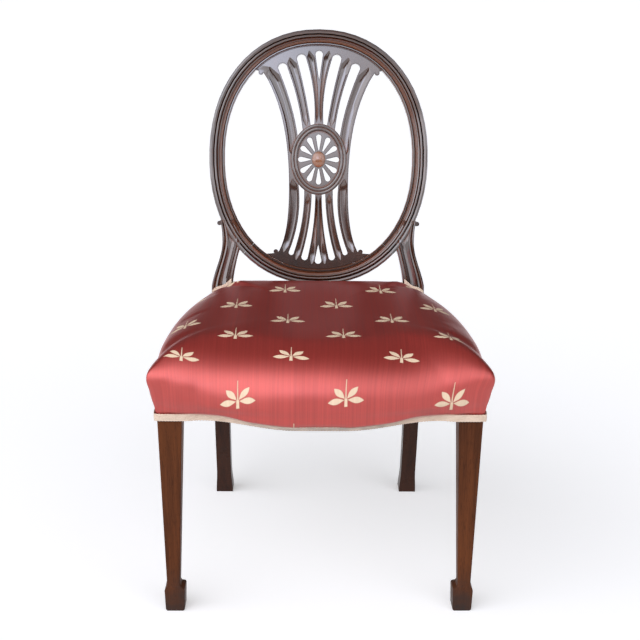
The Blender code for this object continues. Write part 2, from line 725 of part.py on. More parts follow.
def flutes():
    """One rounded gouge down the front of each rib."""
    shape = bmesh.new()
    sides = 8
    for direction, ribs, start, tops in (
        (1, (UPPER_INNER_RIB, UPPER_MIDDLE_RIB, UPPER_OUTER_RIB), FAN_START, UPPER_FLUTE_TOPS),
        (-1, (LOWER_INNER_RIB, LOWER_MIDDLE_RIB, LOWER_OUTER_RIB), LOWER_FAN_START, LOWER_FLUTE_TOPS),
    ):
        for rib, top in zip(ribs, tops):
            for side in (-1, 1):
                rings = []
                tip = top * OVAL_HALF_HEIGHT
                foot = rib_at(rib, start, start * OVAL_HALF_HEIGHT)[0]
                foot = ring_edge(foot, direction) + FLUTE_FILLET
                for share in shares(FLUTE_STEPS):
                    height = mixed(foot, tip, share)
                    middle, half = rib_at(rib, start, height)
                    end = min(share, 1 - share) * (tip - foot)
                    fillet = min(FLUTE_FILLET, half * FLUTE_FILLET_SHARE)
                    wide = half - fillet
                    taper = math.sqrt(max(1 - (1 - min(end / wide, 1)) ** 2, FLUTE_END))
                    rings.append([
                        (
                            side * (middle + wide * taper * math.cos(math.tau * i / sides)),
                            SPLAT_SETBACK + FLUTE_DEPTH * taper * math.sin(math.tau * i / sides),
                            direction * height,
                        )
                        for i in range(sides)
                    ])
                skin(shape, rings)
    return shape


def ellipse(half_width, half_height, inset, steps):
    """Points of an ellipse moved in along its normals, about the middle of the wheel."""
    points = []
    for i in range(steps):
        turn = math.tau * i / steps
        place = Vector((half_width * math.cos(turn), half_height * math.sin(turn)))
        normal = Vector((math.cos(turn) / half_width, math.sin(turn) / half_height)).normalized()
        points.append(place - normal * inset)
    return points


def wheel_ring():
    """The ring of the wheel: two beads with a groove between, let into the face of the splat."""
    bead = RING_BAND / 4
    profile = [(0, -DISH_DEPTH)]
    for start in (0, RING_BAND / 2):
        for share in shares(4):
            turn = math.pi * share
            height = RING_RAISE * mixed(RING_BEAD_FOOT, 1, math.sin(turn))
            profile.append((start + bead * (1 - RING_BEAD_REACH * math.cos(turn)), height))
    profile.append((RING_BAND, -DISH_DEPTH))
    lines = [ellipse(RING_HALF_WIDTH, RING_HALF_HEIGHT, inset, RING_STEPS) for inset, _ in profile]
    rings = []
    for i in range(RING_STEPS):
        rings.append([
            (line[i].x, SPLAT_SETBACK - height, line[i].y + WHEEL_HEIGHT)
            for line, (_, height) in zip(lines, profile)
        ])
    return lofted(rings, loop=True)


def dish():
    """The hollow inside the ring, in front of the spokes."""
    rings = []
    for depth in (SPLAT_SETBACK - DISH_DEPTH, SPLAT_SETBACK + DISH_DEPTH):
        line = ellipse(RING_HALF_WIDTH, RING_HALF_HEIGHT, RING_BAND - FIT, RING_STEPS)
        rings.append([(point.x, depth, point.y + WHEEL_HEIGHT) for point in line])
    return lofted(rings)


def spigot(fit):
    steps = 16
    rings = []
    for depth in (SPLAT_SETBACK - RING_RAISE, SPLAT_SETBACK + DISH_DEPTH + BOSS_SPIGOT_LENGTH + fit):
        rings.append([
            (
                (BOSS_SPIGOT_RADIUS + fit) * math.cos(math.tau * i / steps),
                depth,
                (BOSS_SPIGOT_RADIUS + fit) * math.sin(math.tau * i / steps) + WHEEL_HEIGHT,
            )
            for i in range(steps)
        ])
    return lofted(rings)


def splat_tenon(middle_angle, fit):
    reach = SPLAT_TENON_REACH + fit / OVAL_HALF_HEIGHT
    inner = SPLAT_EDGE - SPLAT_TENON_LENGTH / 2
    outer = SPLAT_EDGE + FIT + SPLAT_TENON_LENGTH + fit
    middle = SPLAT_SETBACK + SPLAT_THICKNESS / 2
    half = SPLAT_TENON_THICKNESS / 2 + fit
    front, rear = middle - half, middle + half
    profile = [(inner, front), (outer, front), (outer, rear), (inner, rear)]
    return oval_sweep(profile, middle_angle - reach, middle_angle + reach, OVAL_STEPS // 2)


splat = new_object(
    "splat", plate(splat_loops(), SPLAT_SETBACK, SPLAT_SETBACK + SPLAT_THICKNESS), back, MAHOGANY
)
cut_from(splat, new_object("splat_flutes", flutes(), back), "MANIFOLD")
join_to(splat, new_object("splat_ring", wheel_ring(), back), "MANIFOLD")
cut_from(splat, new_object("splat_dish", dish(), back), "MANIFOLD")
cut_from(splat, new_object("splat_boss_bore", spigot(FIT), back), "MANIFOLD")
for rail, angle in ((crest_rail, math.pi / 2), (lower_oval_rail, 3 * math.pi / 2)):
    join_to(splat, new_object("splat_tenon_" + rail.name, splat_tenon(angle, 0), back), "MANIFOLD")
    cut_from(rail, new_object("splat_mortise_" + rail.name, splat_tenon(angle, TENON_FIT), back))


def boss():
    """An oval dome on a short round spigot."""
    steps = 24
    seat = SPLAT_SETBACK + DISH_DEPTH - FIT
    rows = [
        (BOSS_SPIGOT_RADIUS, BOSS_SPIGOT_RADIUS, seat + FIT + BOSS_SPIGOT_LENGTH),
        (BOSS_SPIGOT_RADIUS, BOSS_SPIGOT_RADIUS, seat),
        (BOSS_HALF_WIDTH, BOSS_HALF_HEIGHT, seat),
        (BOSS_HALF_WIDTH, BOSS_HALF_HEIGHT, seat - BOSS_RISE / 4),
    ]
    for turn in BOSS_TURNS:
        rows.append((
            BOSS_HALF_WIDTH * math.cos(turn),
            BOSS_HALF_HEIGHT * math.cos(turn),
            seat - BOSS_RISE / 4 - BOSS_RISE * 3 / 4 * math.sin(turn),
        ))
    rings = []
    for half_width, half_height, depth in rows:
        rings.append([
            (
                half_width * math.cos(math.tau * i / steps),
                depth,
                half_height * math.sin(math.tau * i / steps) + WHEEL_HEIGHT,
            )
            for i in range(steps)
        ])
    return lofted(rings)


new_object("splat_boss", boss(), back, LIGHT_MAHOGANY)


# Front legs

def leg_ring(height, outer, front, width):
    inner = outer - width
    rear = front + width
    edge = LEG_EDGE
    return [
        (outer - edge, front, height), (outer, front + edge, height),
        (outer, rear - edge, height), (outer - edge, rear, height),
        (inner + edge, rear, height), (inner, rear - edge, height),
        (inner, front + edge, height), (inner + edge, front, height),
    ]


def leg_rings():
    """A square leg, tapered on its inner faces down to the ankle, on a spade foot."""
    flare = SPADE_OUTER_FLARE
    narrowing = (SPADE_WIDTH - SPADE_BOTTOM_WIDTH) / 2
    outer = LEG_OUTER - LEG_LEAN
    cove = (SPADE_TOP + SPADE_SHOULDER) / 2
    return [
        leg_ring(0, outer + flare - narrowing - LEG_EDGE, LEG_EDGE + narrowing - flare,
                 SPADE_BOTTOM_WIDTH - 2 * LEG_EDGE),
        leg_ring(SPADE_TOE, outer + flare - narrowing, narrowing - flare, SPADE_BOTTOM_WIDTH),
        leg_ring(SPADE_SHOULDER - SPADE_TOE, outer + flare, -flare, SPADE_WIDTH),
        leg_ring(SPADE_SHOULDER, outer + flare - SPADE_EDGE, SPADE_EDGE - flare,
                 SPADE_WIDTH - 2 * SPADE_EDGE),
        leg_ring(cove, outer + flare / 5, -flare / 5, mixed(LEG_ANKLE_WIDTH, SPADE_WIDTH, 1 / 5)),
        leg_ring(SPADE_TOP, outer, 0, LEG_ANKLE_WIDTH),
        leg_ring(RAIL_BOTTOM, LEG_OUTER, 0, LEG_WIDTH),
        leg_ring(RAIL_TOP, LEG_OUTER, 0, LEG_WIDTH),
    ]


legs = {}
for side, word in ((-1, "left"), (1, "right")):
    rings = [mirrored(ring, side) for ring in leg_rings()]
    legs[side] = new_object("front_leg_" + word, lofted(rings), chair, MAHOGANY)


# Seat frame

def front_face(across):
    """The serpentine front of the seat: bowed in the middle, slightly hollow towards the legs."""
    reach = abs(across)
    if reach < FRONT_BOW_END:
        share = eased((reach - FRONT_BOW_FLAT) / (FRONT_BOW_END - FRONT_BOW_FLAT))
        return mixed(-FRONT_BOW + FRONT_HOLLOW, FRONT_HOLLOW, share)
    share = eased((reach - FRONT_BOW_END) / (LEG_OUTER - LEG_WIDTH - FRONT_BOW_END))
    return mixed(FRONT_HOLLOW, 0, share)


def side_face(depth):
    """Half the width of the seat frame at this depth: near straight in front, tucked in at the posts."""
    return LEG_OUTER - SIDE_TUCK * max(depth / SEAT_DEPTH, 0) ** SIDE_TUCK_POWER


def side_line(depth):
    """Half the width of the seat frame along the straight runs between the stations of its side rails."""
    run = (SEAT_DEPTH - LEG_WIDTH) / SIDE_STEPS
    start = LEG_WIDTH + run * min(max((depth - LEG_WIDTH) // run, 0), SIDE_STEPS - 1)
    return mixed(side_face(start), side_face(start + run), (depth - start) / run)


def front_rail():
    rings = []
    end = LEG_OUTER - LEG_WIDTH
    places = [mixed(-end, end, share) for share in shares(FRONT_STEPS)]
    for across in [FIT - end] + places[1:-1] + [end - FIT]:
        front = front_face(across)
        rear = front + FRONT_RAIL_THICKNESS
        rings.append([
            (across, front, RAIL_BOTTOM), (across, rear, RAIL_BOTTOM),
            (across, rear, RAIL_TOP), (across, front, RAIL_TOP),
        ])
    return lofted(rings)


def side_rail(side):
    rings = []
    depths = [mixed(LEG_WIDTH, SEAT_DEPTH, share) for share in shares(SIDE_STEPS)]
    for depth in [LEG_WIDTH + FIT] + depths[1:-1] + [SEAT_DEPTH - FIT]:
        outer = side_face(depth)
        inner = outer - SIDE_RAIL_THICKNESS
        ring = [
            (outer, depth, RAIL_BOTTOM), (inner, depth, RAIL_BOTTOM),
            (inner, depth, RAIL_TOP), (outer, depth, RAIL_TOP),
        ]
        rings.append(mirrored(ring, side))
    return lofted(rings)


REAR_RAIL_BACK = REAR_RAIL_FRONT + REAR_RAIL_THICKNESS
POST_RAIL_INNER = POST_OUTER - post_width(RAIL_TOP)


def rear_rail():
    end = POST_RAIL_INNER - FIT
    return block((-end, REAR_RAIL_FRONT, RAIL_BOTTOM), (end, REAR_RAIL_BACK, RAIL_TOP))


TENON_LOW = (RAIL_BOTTOM + RAIL_TOP - RAIL_TENON_HEIGHT) / 2
TENON_HIGH = TENON_LOW + RAIL_TENON_HEIGHT


def tenon_block(low, high, fit):
    """A tenon between two corners, or with a fit its mortise."""
    ends = [sorted(pair) for pair in zip(low, high)]
    return block([pair[0] - fit for pair in ends], [pair[1] + fit for pair in ends])


front_seat_rail = new_object("front_seat_rail", front_rail(), chair, RAIL_WOOD)
rear_seat_rail = new_object("rear_seat_rail", rear_rail(), chair, MAHOGANY)
side_rails = {}
for side, word in ((-1, "left"), (1, "right")):
    rail = new_object("side_seat_rail_" + word, side_rail(side), chair, RAIL_WOOD)
    side_rails[side] = rail
    leg_inner = LEG_OUTER - LEG_WIDTH
    half = RAIL_TENON_THICKNESS / 2
    front_tenon = (
        (side * (leg_inner - 2 * half), LEG_MORTISE_SETBACK, TENON_LOW),
        (side * (leg_inner + FRONT_TENON_LENGTH), LEG_MORTISE_SETBACK + RAIL_TENON_THICKNESS, TENON_HIGH),
    )
    leg_tenon_middle = LEG_OUTER - SIDE_TENON_INSET
    leg_tenon = (
        (side * (leg_tenon_middle - half), LEG_WIDTH - SIDE_TENON_LENGTH, TENON_LOW),
        (side * (leg_tenon_middle + half), LEG_WIDTH + 2 * half, TENON_HIGH),
    )
    post_tenon_middle = side_face(SEAT_DEPTH) - SIDE_TENON_INSET
    post_tenon = (
        (side * (post_tenon_middle - half), SEAT_DEPTH - half, TENON_LOW),
        (side * (post_tenon_middle + half), SEAT_DEPTH + SIDE_TENON_LENGTH, TENON_HIGH),
    )
    rear_middle = REAR_RAIL_FRONT + REAR_RAIL_THICKNESS / 2
    rear_tenon = (
        (side * (POST_RAIL_INNER - 4 * half), rear_middle - half, TENON_LOW),
        (side * (POST_RAIL_INNER + REAR_TENON_LENGTH), rear_middle + half, TENON_HIGH),
    )
    for owner, into, corners, name in (
        (front_seat_rail, legs[side], front_tenon, "front_rail_tenon_"),
        (rail, legs[side], leg_tenon, "side_rail_front_tenon_"),
        (rail, posts[side], post_tenon, "side_rail_rear_tenon_"),
        (rear_seat_rail, posts[side], rear_tenon, "rear_rail_tenon_"),
    ):
        join_to(owner, new_object(name + word, tenon_block(*corners, 0), chair))
        cut_from(into, new_object(name + word + "_mortise", tenon_block(*corners, TENON_FIT), chair))


def front_block(side):
    """A three-cornered block behind a front leg, notched round the leg."""
    leg_inner = LEG_OUTER - LEG_WIDTH
    start = leg_inner - FRONT_BLOCK_REACH
    hollow = max(front_face(mixed(start, leg_inner, share)) for share in shares(FRONT_STEPS))
    front = hollow + FRONT_RAIL_THICKNESS + FIT
    outline = [(start, front), (leg_inner - FIT, front), (leg_inner - FIT, LEG_WIDTH + FIT)]
    for depth in (LEG_WIDTH + FIT, LEG_WIDTH + FRONT_BLOCK_REACH):
        outline.append((side_line(depth) - SIDE_RAIL_THICKNESS - FIT, depth))
    return prism(mirrored(outline, side), BLOCK_BOTTOM, BLOCK_BOTTOM + BLOCK_HEIGHT)


def rear_block(side):
    """A three-cornered block in front of a rear post, notched round the post."""
    inner = POST_OUTER - POST_SEAT_WIDTH
    front = SEAT_DEPTH - FIT
    outline = [
        (inner - REAR_BLOCK_REACH, REAR_RAIL_FRONT - FIT),
        (inner - FIT, REAR_RAIL_FRONT - FIT),
        (inner - FIT, front),
    ]
    for depth in (front, front - REAR_BLOCK_REACH):
        outline.append((side_line(depth) - SIDE_RAIL_THICKNESS - FIT, depth))
    return prism(mirrored(outline, side), BLOCK_BOTTOM, BLOCK_BOTTOM + BLOCK_HEIGHT)


for side, word in ((-1, "left"), (1, "right")):
    new_object("corner_block_front_" + word, front_block(side), chair, RAIL_WOOD)
    new_object("corner_block_rear_" + word, rear_block(side), chair, RAIL_WOOD)


# Webbing and base cloth

WEB_LOW = RAIL_TOP + FIT
WEB_LIFT = WEB_THICKNESS + FIT


def woven(start, end, crossings, first_over):
    """Places and heights along a strip that passes over and under those that cross it."""
    stops = [(start, 0)]
    half = WEB_WIDTH / 2 + WEB_INSET
    for index, place in enumerate(crossings):
        over = (index + first_over) % 2
        stops += [(place - half, over), (place + half, over)]
    stops.append((end, 0))
    path = []
    for (here, low), (there, high) in zip(stops, stops[1:]):
        count = 4 if low != high else 1
        for share in shares(count)[:-1]:
            path.append((mixed(here, there, share), WEB_LOW + WEB_LIFT * mixed(low, high, eased(share))))
    path.append((end, WEB_LOW))
    return path


for number, across in enumerate(LONG_WEBS):
    near, far = across - WEB_WIDTH / 2, across + WEB_WIDTH / 2
    start = max(front_face(near), front_face(far)) + WEB_INSET
    end = REAR_RAIL_BACK - WEB_INSET
    rings = []
    for depth, low in woven(start, end, CROSS_WEBS, number % 2):
        high = low + WEB_THICKNESS
        rings.append([(near, depth, low), (far, depth, low), (far, depth, high), (near, depth, high)])
    new_object(f"webbing_long_{number + 1}", lofted(rings), chair, WEB_CLOTH)
for number, depth in enumerate(CROSS_WEBS):
    near, far = depth - WEB_WIDTH / 2, depth + WEB_WIDTH / 2
    end = side_line(far) - WEB_INSET
    rings = []
    for across, low in woven(-end, end, LONG_WEBS, (number + 1) % 2):
        high = low + WEB_THICKNESS
        rings.append([(across, near, low), (across, far, low), (across, far, high), (across, near, high)])
    new_object(f"webbing_cross_{number + 1}", lofted(rings), chair, WEB_CLOTH)


NOTCH_INNER = upright_edges((PAD_CROWN - OVAL_CENTRE_HEIGHT) / math.cos(BACK_RAKE))[1] - FIT


def seat_outline():
    """Points round the outer faces of the seat frame, from the front left by the right, and the ways out."""
    points = []
    corner = LEG_EDGE
    wide = LEG_OUTER - corner
    leg_inner = LEG_OUTER - LEG_WIDTH
    places = [mixed(-leg_inner, leg_inner, share) for share in shares(FRONT_STEPS)]
    for across in [-wide] + places + [wide]:
        points.append((across, front_face(across)))
    points.append((wide + corner * math.sin(math.pi / 4), corner - corner * math.cos(math.pi / 4)))
    depths = [corner, LEG_WIDTH / 2]
    depths += [mixed(LEG_WIDTH, SEAT_DEPTH, share) for share in shares(SIDE_STEPS)[:-1]]
    depths += [SEAT_DEPTH - PAD_POST_GAP, PAD_BACK]
    for depth in depths:
        points.append((side_face(depth), depth))
    by_post = NOTCH_INNER + 2 * COVER_STAND
    rear = [(mixed(side_face(PAD_BACK), by_post, share), PAD_BACK) for share in shares(REAR_CORNER_STEPS)[1:]]
    rear += [(mixed(NOTCH_INNER - 3 * COVER_STAND, 0, share), PAD_BACK) for share in shares(2)]
    points += rear + mirrored(rear[-2::-1], -1)
    for depth in depths[::-1]:
        points.append((-side_face(depth), depth))
    points.append((-wide - corner * math.sin(math.pi / 4), corner - corner * math.cos(math.pi / 4)))
    points = [Vector(point) for point in points]
    ways = []
    for before, point, after in zip(points[-1:] + points[:-1], points, points[1:] + points[:1]):
        along = (after - before).normalized()
        at_back = math.isclose(point.y, PAD_BACK, abs_tol=FIT / 10)
        ways.append(Vector((0, 1)) if at_back else Vector((along.y, -along.x)))
    return points, ways


outline, ways_out = seat_outline()


CLOTH_LOW = WEB_LOW + WEB_LIFT + WEB_THICKNESS + FIT
STUFFING_LOW = CLOTH_LOW + CLOTH_THICKNESS + FIT
APRON_OUT = REAR_RAIL_BACK - PAD_BACK + COVER_STAND
APRON_TOP = WEB_LOW + WEB_THICKNESS + COVER_STAND


def rear_share(point):
    """How far a point of the outline belongs to the back edge, which is upright."""
    if point.y <= SEAT_DEPTH:
        return 0
    corner = side_face(SEAT_DEPTH)
    return eased((corner - abs(point.x)) / (corner - NOTCH_INNER))


SIDE_SHARES = (0, 0.35, 0.7, 1)
TOP_SHARES = (0.012, 0.045, 0.11, 0.23, 0.42, 0.7)
APRON = (
    (APRON_OUT, COVER_REAR_BOTTOM),
    (APRON_OUT, APRON_TOP),
    (PAD_REAR_BULGE + COVER_STAND, APRON_TOP),
    (PAD_REAR_BULGE, PAD_REAR_WIDEST),
)


def at_apron(point):
    """Whether a point of the outline is on the back edge, where the cover runs down over the rear rail."""
    return point.y > SEAT_DEPTH and abs(point.x) < NOTCH_INNER + 3 * COVER_STAND


def bulge(point):
    """How far the pad swells out at its widest: boldly in front and at its corners, less along the sides."""
    return mixed(PAD_BULGE, PAD_SIDE_BULGE, eased(point.y / PAD_CORNER_REACH))


def pad_ring(side, top, apron):
    """A ring of the seat's outer surface. Side counts up the drawn-in sides, and top runs in over the top.
    The apron is what the cover has behind, down over the rear rail."""
    low = SIDE_SHARES[side]
    ring = []
    for point, way in zip(outline, ways_out):
        rear = rear_share(point)
        roll = math.sin(math.pi / 2 * low)
        out = mixed(COVER_STAND, bulge(point), roll)
        height = mixed(COVER_BOTTOM, PAD_WIDEST, low)
        rear_out = mixed(COVER_STAND, PAD_REAR_BULGE, roll)
        rear_height = mixed(STUFFING_LOW, PAD_REAR_WIDEST, low)
        if apron and at_apron(point):
            rear_out, rear_height = APRON[side]
        start = point + way * mixed(out, rear_out, rear)
        place = start.lerp(Vector((0, PAD_CENTRE)), top)
        swell = (1 - (1 - top) ** PAD_SQUARENESS) ** (1 / PAD_SQUARENESS)
        widest = mixed(PAD_WIDEST, PAD_REAR_WIDEST, rear)
        rise = (PAD_CROWN - widest) * swell
        ring.append(Vector((place.x, place.y, mixed(height, rear_height, rear) + rise)))
    return ring


def pad_surface(apron):
    sides = [pad_ring(side, 0, apron) for side in range(len(SIDE_SHARES))]
    return sides + [pad_ring(len(SIDE_SHARES) - 1, top, apron) for top in TOP_SHARES]


pad_peak = Vector((0, PAD_CENTRE, PAD_CROWN))
cover_rings = pad_surface(True)


def domed(shape, rings, peak, flip=False):
    """Triangles up over rings to a peak, the left half mirroring the right. Returns the rings and the tip."""
    rows = [[shape.verts.new(point) for point in ring] for ring in rings]
    tip = shape.verts.new(peak)
    corners = []
    for low, high in zip(rows, rows[1:]):
        for i in range(len(low)):
            j = (i + 1) % len(low)
            if low[i].co.x + low[j].co.x < 0:
                corners += [(low[i], low[j], high[i]), (low[j], high[j], high[i])]
            else:
                corners += [(low[i], low[j], high[j]), (low[i], high[j], high[i])]
    last = rows[-1]
    corners += [(last[i], last[(i + 1) % len(last)], tip) for i in range(len(last))]
    for three in corners:
        shape.faces.new(three[::-1] if flip else three)
    return rows, tip


def sunk(rings, peak, depth):
    """The rings of the seat's surface moved in by this depth, square to the surface."""
    surface = bmesh.new()
    rows, tip = domed(surface, rings, peak)
    surface.normal_update()
    moved = [[corner.co - corner.normal * depth for corner in row] for row in rows]
    top = tip.co - tip.normal * depth
    surface.free()
    return moved, top


def bridge(shape, outer, inner):
    for i in range(len(outer)):
        j = (i + 1) % len(outer)
        shape.faces.new((outer[j], outer[i], inner[i], inner[j]))


def cover():
    """The seat cover: a cloth skin, open below, with its edge turned square."""
    shape = bmesh.new()
    under, under_peak = sunk(cover_rings, pad_peak, COVER_THICKNESS)
    outer, _ = domed(shape, cover_rings, pad_peak)
    inner, _ = domed(shape, under, under_peak, flip=True)
    bridge(shape, outer[0], inner[0])
    return shape


def stuffing_rings():
    """The surface under the cover, upright where the cover turns out over the rear rail."""
    under, peak = sunk(cover_rings, pad_peak, COVER_THICKNESS + FIT)
    upright, _ = sunk(pad_surface(False), pad_peak, COVER_THICKNESS + FIT)
    last_side = len(SIDE_SHARES) - 1
    for i, point in enumerate(outline):
        if at_apron(point):
            for row in range(last_side):
                under[row][i] = upright[row][i]
    return under[1:], peak


def stuffing():
    """The crowned pad, with a skirt that rounds off the outer edges of the rails."""
    shape = bmesh.new()
    under, under_peak = stuffing_rings()
    outside, _ = domed(shape, under, under_peak)
    skirt, step, floor = [], [], []
    for point, way, corner in zip(outline, ways_out, under[0]):
        edge = point + way * mixed(2 * FIT, -STUFFING_REBATE, rear_share(point))
        skirt.append((edge.x, edge.y, corner.z))
        step.append((edge.x, edge.y, STUFFING_LOW))
        inset = point.lerp(Vector((0, PAD_CENTRE)), STUFFING_FLOOR_SHARE)
        floor.append((inset.x, inset.y, STUFFING_LOW))
    inside, _ = domed(shape, [skirt, step, floor], (0, PAD_CENTRE, STUFFING_LOW), flip=True)
    bridge(shape, outside[0], inside[0])
    return shape


def base_cloth():
    ring = []
    for point in outline:
        inward = Vector((0, PAD_CENTRE)) - point
        ring.append(point + inward.normalized() * CLOTH_INSET)
    return prism([(point.x, point.y) for point in ring], CLOTH_LOW, CLOTH_LOW + CLOTH_THICKNESS)


def post_notch(side):
    """The corner that a rear post takes out of the pad."""
    heights = [mixed(RAIL_BOTTOM - LEG_WIDTH, POST_BEND_START, share) for share in shares(3)]
    heights += [mixed(POST_BEND_START, POST_BEND_END, share) for share in shares(6)[1:]]
    heights.append(PAD_CROWN + LEG_WIDTH)
    section = [(post_front(height) - FIT, height) for height in heights]
    behind = REAR_RAIL_BACK + LEG_WIDTH
    section += [(behind, section[-1][1]), (behind, section[0][1])]
    rings = []
    for across in (NOTCH_INNER, 2 * LEG_OUTER):
        rings.append([(side * across, depth, height) for depth, height in section])
    return lofted(rings)


seat_cover = new_object("seat_cover", cover(), chair, SATIN)
seat_stuffing = new_object("seat_stuffing", stuffing(), chair, STUFFING)
seat_base_cloth = new_object("seat_base_cloth", base_cloth(), chair, BASE_CLOTH)
for side, word in ((-1, "left"), (1, "right")):
    notch = new_object("post_notch_" + word, post_notch(side), chair)
    for soft in (seat_cover, seat_stuffing, seat_base_cloth):
        cut_from(soft, notch, "MANIFOLD")


# Gimp braid

def front_gimp_ring(point, way):
    """The braid in section at a point of the seat's outline, just clear of the cover."""
    low, high = RAIL_BOTTOM, RAIL_BOTTOM + GIMP_WIDTH
    middle = (low + high) / 2
    rise = (high - COVER_BOTTOM) / (PAD_WIDEST - COVER_BOTTOM)
    near_low = COVER_STAND + GIMP_STAND
    near_high = mixed(COVER_STAND, bulge(point), math.sin(math.pi / 2 * rise)) + GIMP_STAND
    ring = []
    for out, height in (
        (near_low, low), (near_low + GIMP_EDGE, low),
        ((near_low + near_high) / 2 + GIMP_THICKNESS, middle),
        (near_high + GIMP_EDGE, high), (near_high, high), (near_high, middle),
    ):
        place = point + way * out
        ring.append(Vector((place.x, place.y, height)))
    return ring


def front_gimp():
    """One length of braid along the lower edge of the cover, from post to post round the front."""
    count = len(outline)
    rear = min(range(count), key=lambda i: (outline[i] - Vector((0, PAD_BACK))).length)
    order = [(rear + i) % count for i in range(count)]
    path = [i for i in order if outline[i].y < SEAT_DEPTH]
    return lofted([front_gimp_ring(outline[i], ways_out[i]) for i in path])


def rear_gimp():
    """Braid along the back edge of the seat, between the posts."""
    near = PAD_BACK + PAD_REAR_BULGE + FIT
    low, high = PAD_REAR_WIDEST, PAD_REAR_WIDEST + GIMP_WIDTH
    end = NOTCH_INNER - GIMP_REAR_END_GAP
    section = [
        (near, low), (near + GIMP_EDGE, low), (near + GIMP_THICKNESS, (low + high) / 2),
        (near + GIMP_EDGE, high), (near, high),
    ]
    return lofted([[(across, depth, height) for depth, height in section] for across in (-end, 0, end)])


top_shape = bmesh.new()
domed(top_shape, cover_rings, pad_peak)
surface_tree = BVHTree.FromBMesh(top_shape)
top_shape.free()


def seat_top(across, depth):
    """Height of the cover's surface at this place."""
    hit, _, _, _ = surface_tree.ray_cast(Vector((across, depth, 1)), Vector((0, 0, -1)))
    return hit.z


def post_gimp(side):
    """A short braid on the cover, along the foot of a post."""
    rings = []
    near = post_front(POST_BEND_END) - FIT - GIMP_THICKNESS
    depths = [near - GIMP_THICKNESS * share for share in shares(2)]
    places = [mixed(NOTCH_INNER + FIT, POST_OUTER, share) for share in shares(POST_GIMP_STEPS)]
    for before, across, after in zip(places[:1] + places, places, places[1:] + places[-1:]):
        around = (before, (before + across) / 2, across, (across + after) / 2, after)
        low = max(seat_top(x, depth) for x in around for depth in depths) + FIT
        high = low + GIMP_WIDTH
        ring = []
        for in_front, height in (
            (0, low), (GIMP_EDGE, low), (GIMP_THICKNESS, (low + high) / 2), (GIMP_EDGE, high), (0, high),
        ):
            ring.append((side * across, post_front(height) - FIT - in_front, height))
        rings.append(ring)
    return lofted(rings)


new_object("gimp_front", front_gimp(), chair, BRAID)
new_object("gimp_rear", rear_gimp(), chair, BRAID)
for side, word in ((-1, "left"), (1, "right")):
    new_object("gimp_post_" + word, post_gimp(side), chair, BRAID)


# The origin comes to the middle of the depth, between the front of the seat and the top of the back

FRONT_MOST = front_face(0) - PAD_BULGE
crest_corner = back_to_chair @ Vector((0, OVAL_THICKNESS, OVAL_HALF_HEIGHT - OVAL_BACK_ROUNDING))
chair.location = (0, -(FRONT_MOST + crest_corner.y) / 2, 0)
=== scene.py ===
"""Looks of the wheel back dining chair: polished mahogany, a stuffed satin seat and cream braid."""

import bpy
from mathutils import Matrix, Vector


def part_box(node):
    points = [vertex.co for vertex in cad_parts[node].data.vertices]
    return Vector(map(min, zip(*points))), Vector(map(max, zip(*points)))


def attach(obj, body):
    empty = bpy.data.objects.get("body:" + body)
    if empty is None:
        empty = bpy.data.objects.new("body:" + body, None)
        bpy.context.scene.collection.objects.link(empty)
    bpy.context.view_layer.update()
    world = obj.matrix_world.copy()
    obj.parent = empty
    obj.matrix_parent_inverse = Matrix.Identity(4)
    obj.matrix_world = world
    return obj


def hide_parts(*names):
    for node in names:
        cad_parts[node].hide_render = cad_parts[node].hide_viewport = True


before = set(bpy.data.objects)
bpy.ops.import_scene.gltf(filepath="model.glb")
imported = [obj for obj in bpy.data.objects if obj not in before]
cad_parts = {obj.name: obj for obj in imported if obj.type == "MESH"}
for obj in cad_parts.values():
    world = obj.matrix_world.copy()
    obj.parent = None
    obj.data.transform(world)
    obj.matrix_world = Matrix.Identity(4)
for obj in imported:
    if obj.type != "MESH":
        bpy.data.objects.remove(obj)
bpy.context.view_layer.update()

import math

import bmesh
import bpy
from mathutils import Matrix, Vector
from mathutils.bvhtree import BVHTree

scene = bpy.context.scene

# Sizes that the seat shares with the solids, with depth measured back from the front legs
MIDDLE = 0.23962
SEAT_DEPTH = 0.406
LEG_OUTER = 0.2668
POST_INNER = 0.1679
POST_OUTER = 0.208
RAIL_BOTTOM = 0.353
COVER_BOTTOM = 0.3555
COVER_REAR_BOTTOM = 0.3945
COVER_STAND = 0.0022
PAD_BACK = 0.4095
PAD_BULGE = 0.0175
PAD_SIDE_BULGE = 0.008
PAD_REAR_BULGE = 0.003
PAD_CORNER_REACH = 0.045
PAD_WIDEST = 0.4225
PAD_REAR_WIDEST = 0.4685
PAD_CROWN = 0.486
PAD_SQUARENESS = 3.6
FRONT_ROLL = 0.088
FRONT_TOP = 0.477
CORNER_ROLL = 0.5
CORNER_ROUND = 0.012
PAD_BOTTOM = 0.4236
PAD_CENTRE = 0.2
APRON_OUT = 0.0272
APRON_TOP = 0.4208
CLOTH_THICKNESS = 0.0012

# The seat has sunk a little in the middle with use
DISH_DEPTH = 0.004
DISH_CENTRE = 0.15

# Figure of the cloth
FIGURE_ACROSS = 0.178
FIGURE_ROW = 0.0865
FIGURE_DRIFT = 0.0037
FIGURE_START = (-0.063, 0.329)

# Where the six rows of the figure lie along the seat, from its front, and their places on the flat cloth
ROW_PLACES = (-0.0914, -0.019, 0.044, 0.124, 0.2124, 0.307)
ROWS = [(place, FIGURE_START[1] - FIGURE_ROW * (5 - count)) for count, place in enumerate(ROW_PLACES)]
THREAD = 0.00055
LEAF_START = -0.001
LEAF_TRIM = 0.0012

# Folds of the cover at a front corner: their side, place, depth and width
FOLDS = (("front", 0.93, 0.0024, 0.006), ("corner", 1.0, 0.0032, 0.004), ("side", 0.945, 0.0022, 0.0055))
FOLD_REACH = 0.11

BRAID_WIDTH = 0.0125
POST_BRAID_WIDTH = 0.0102

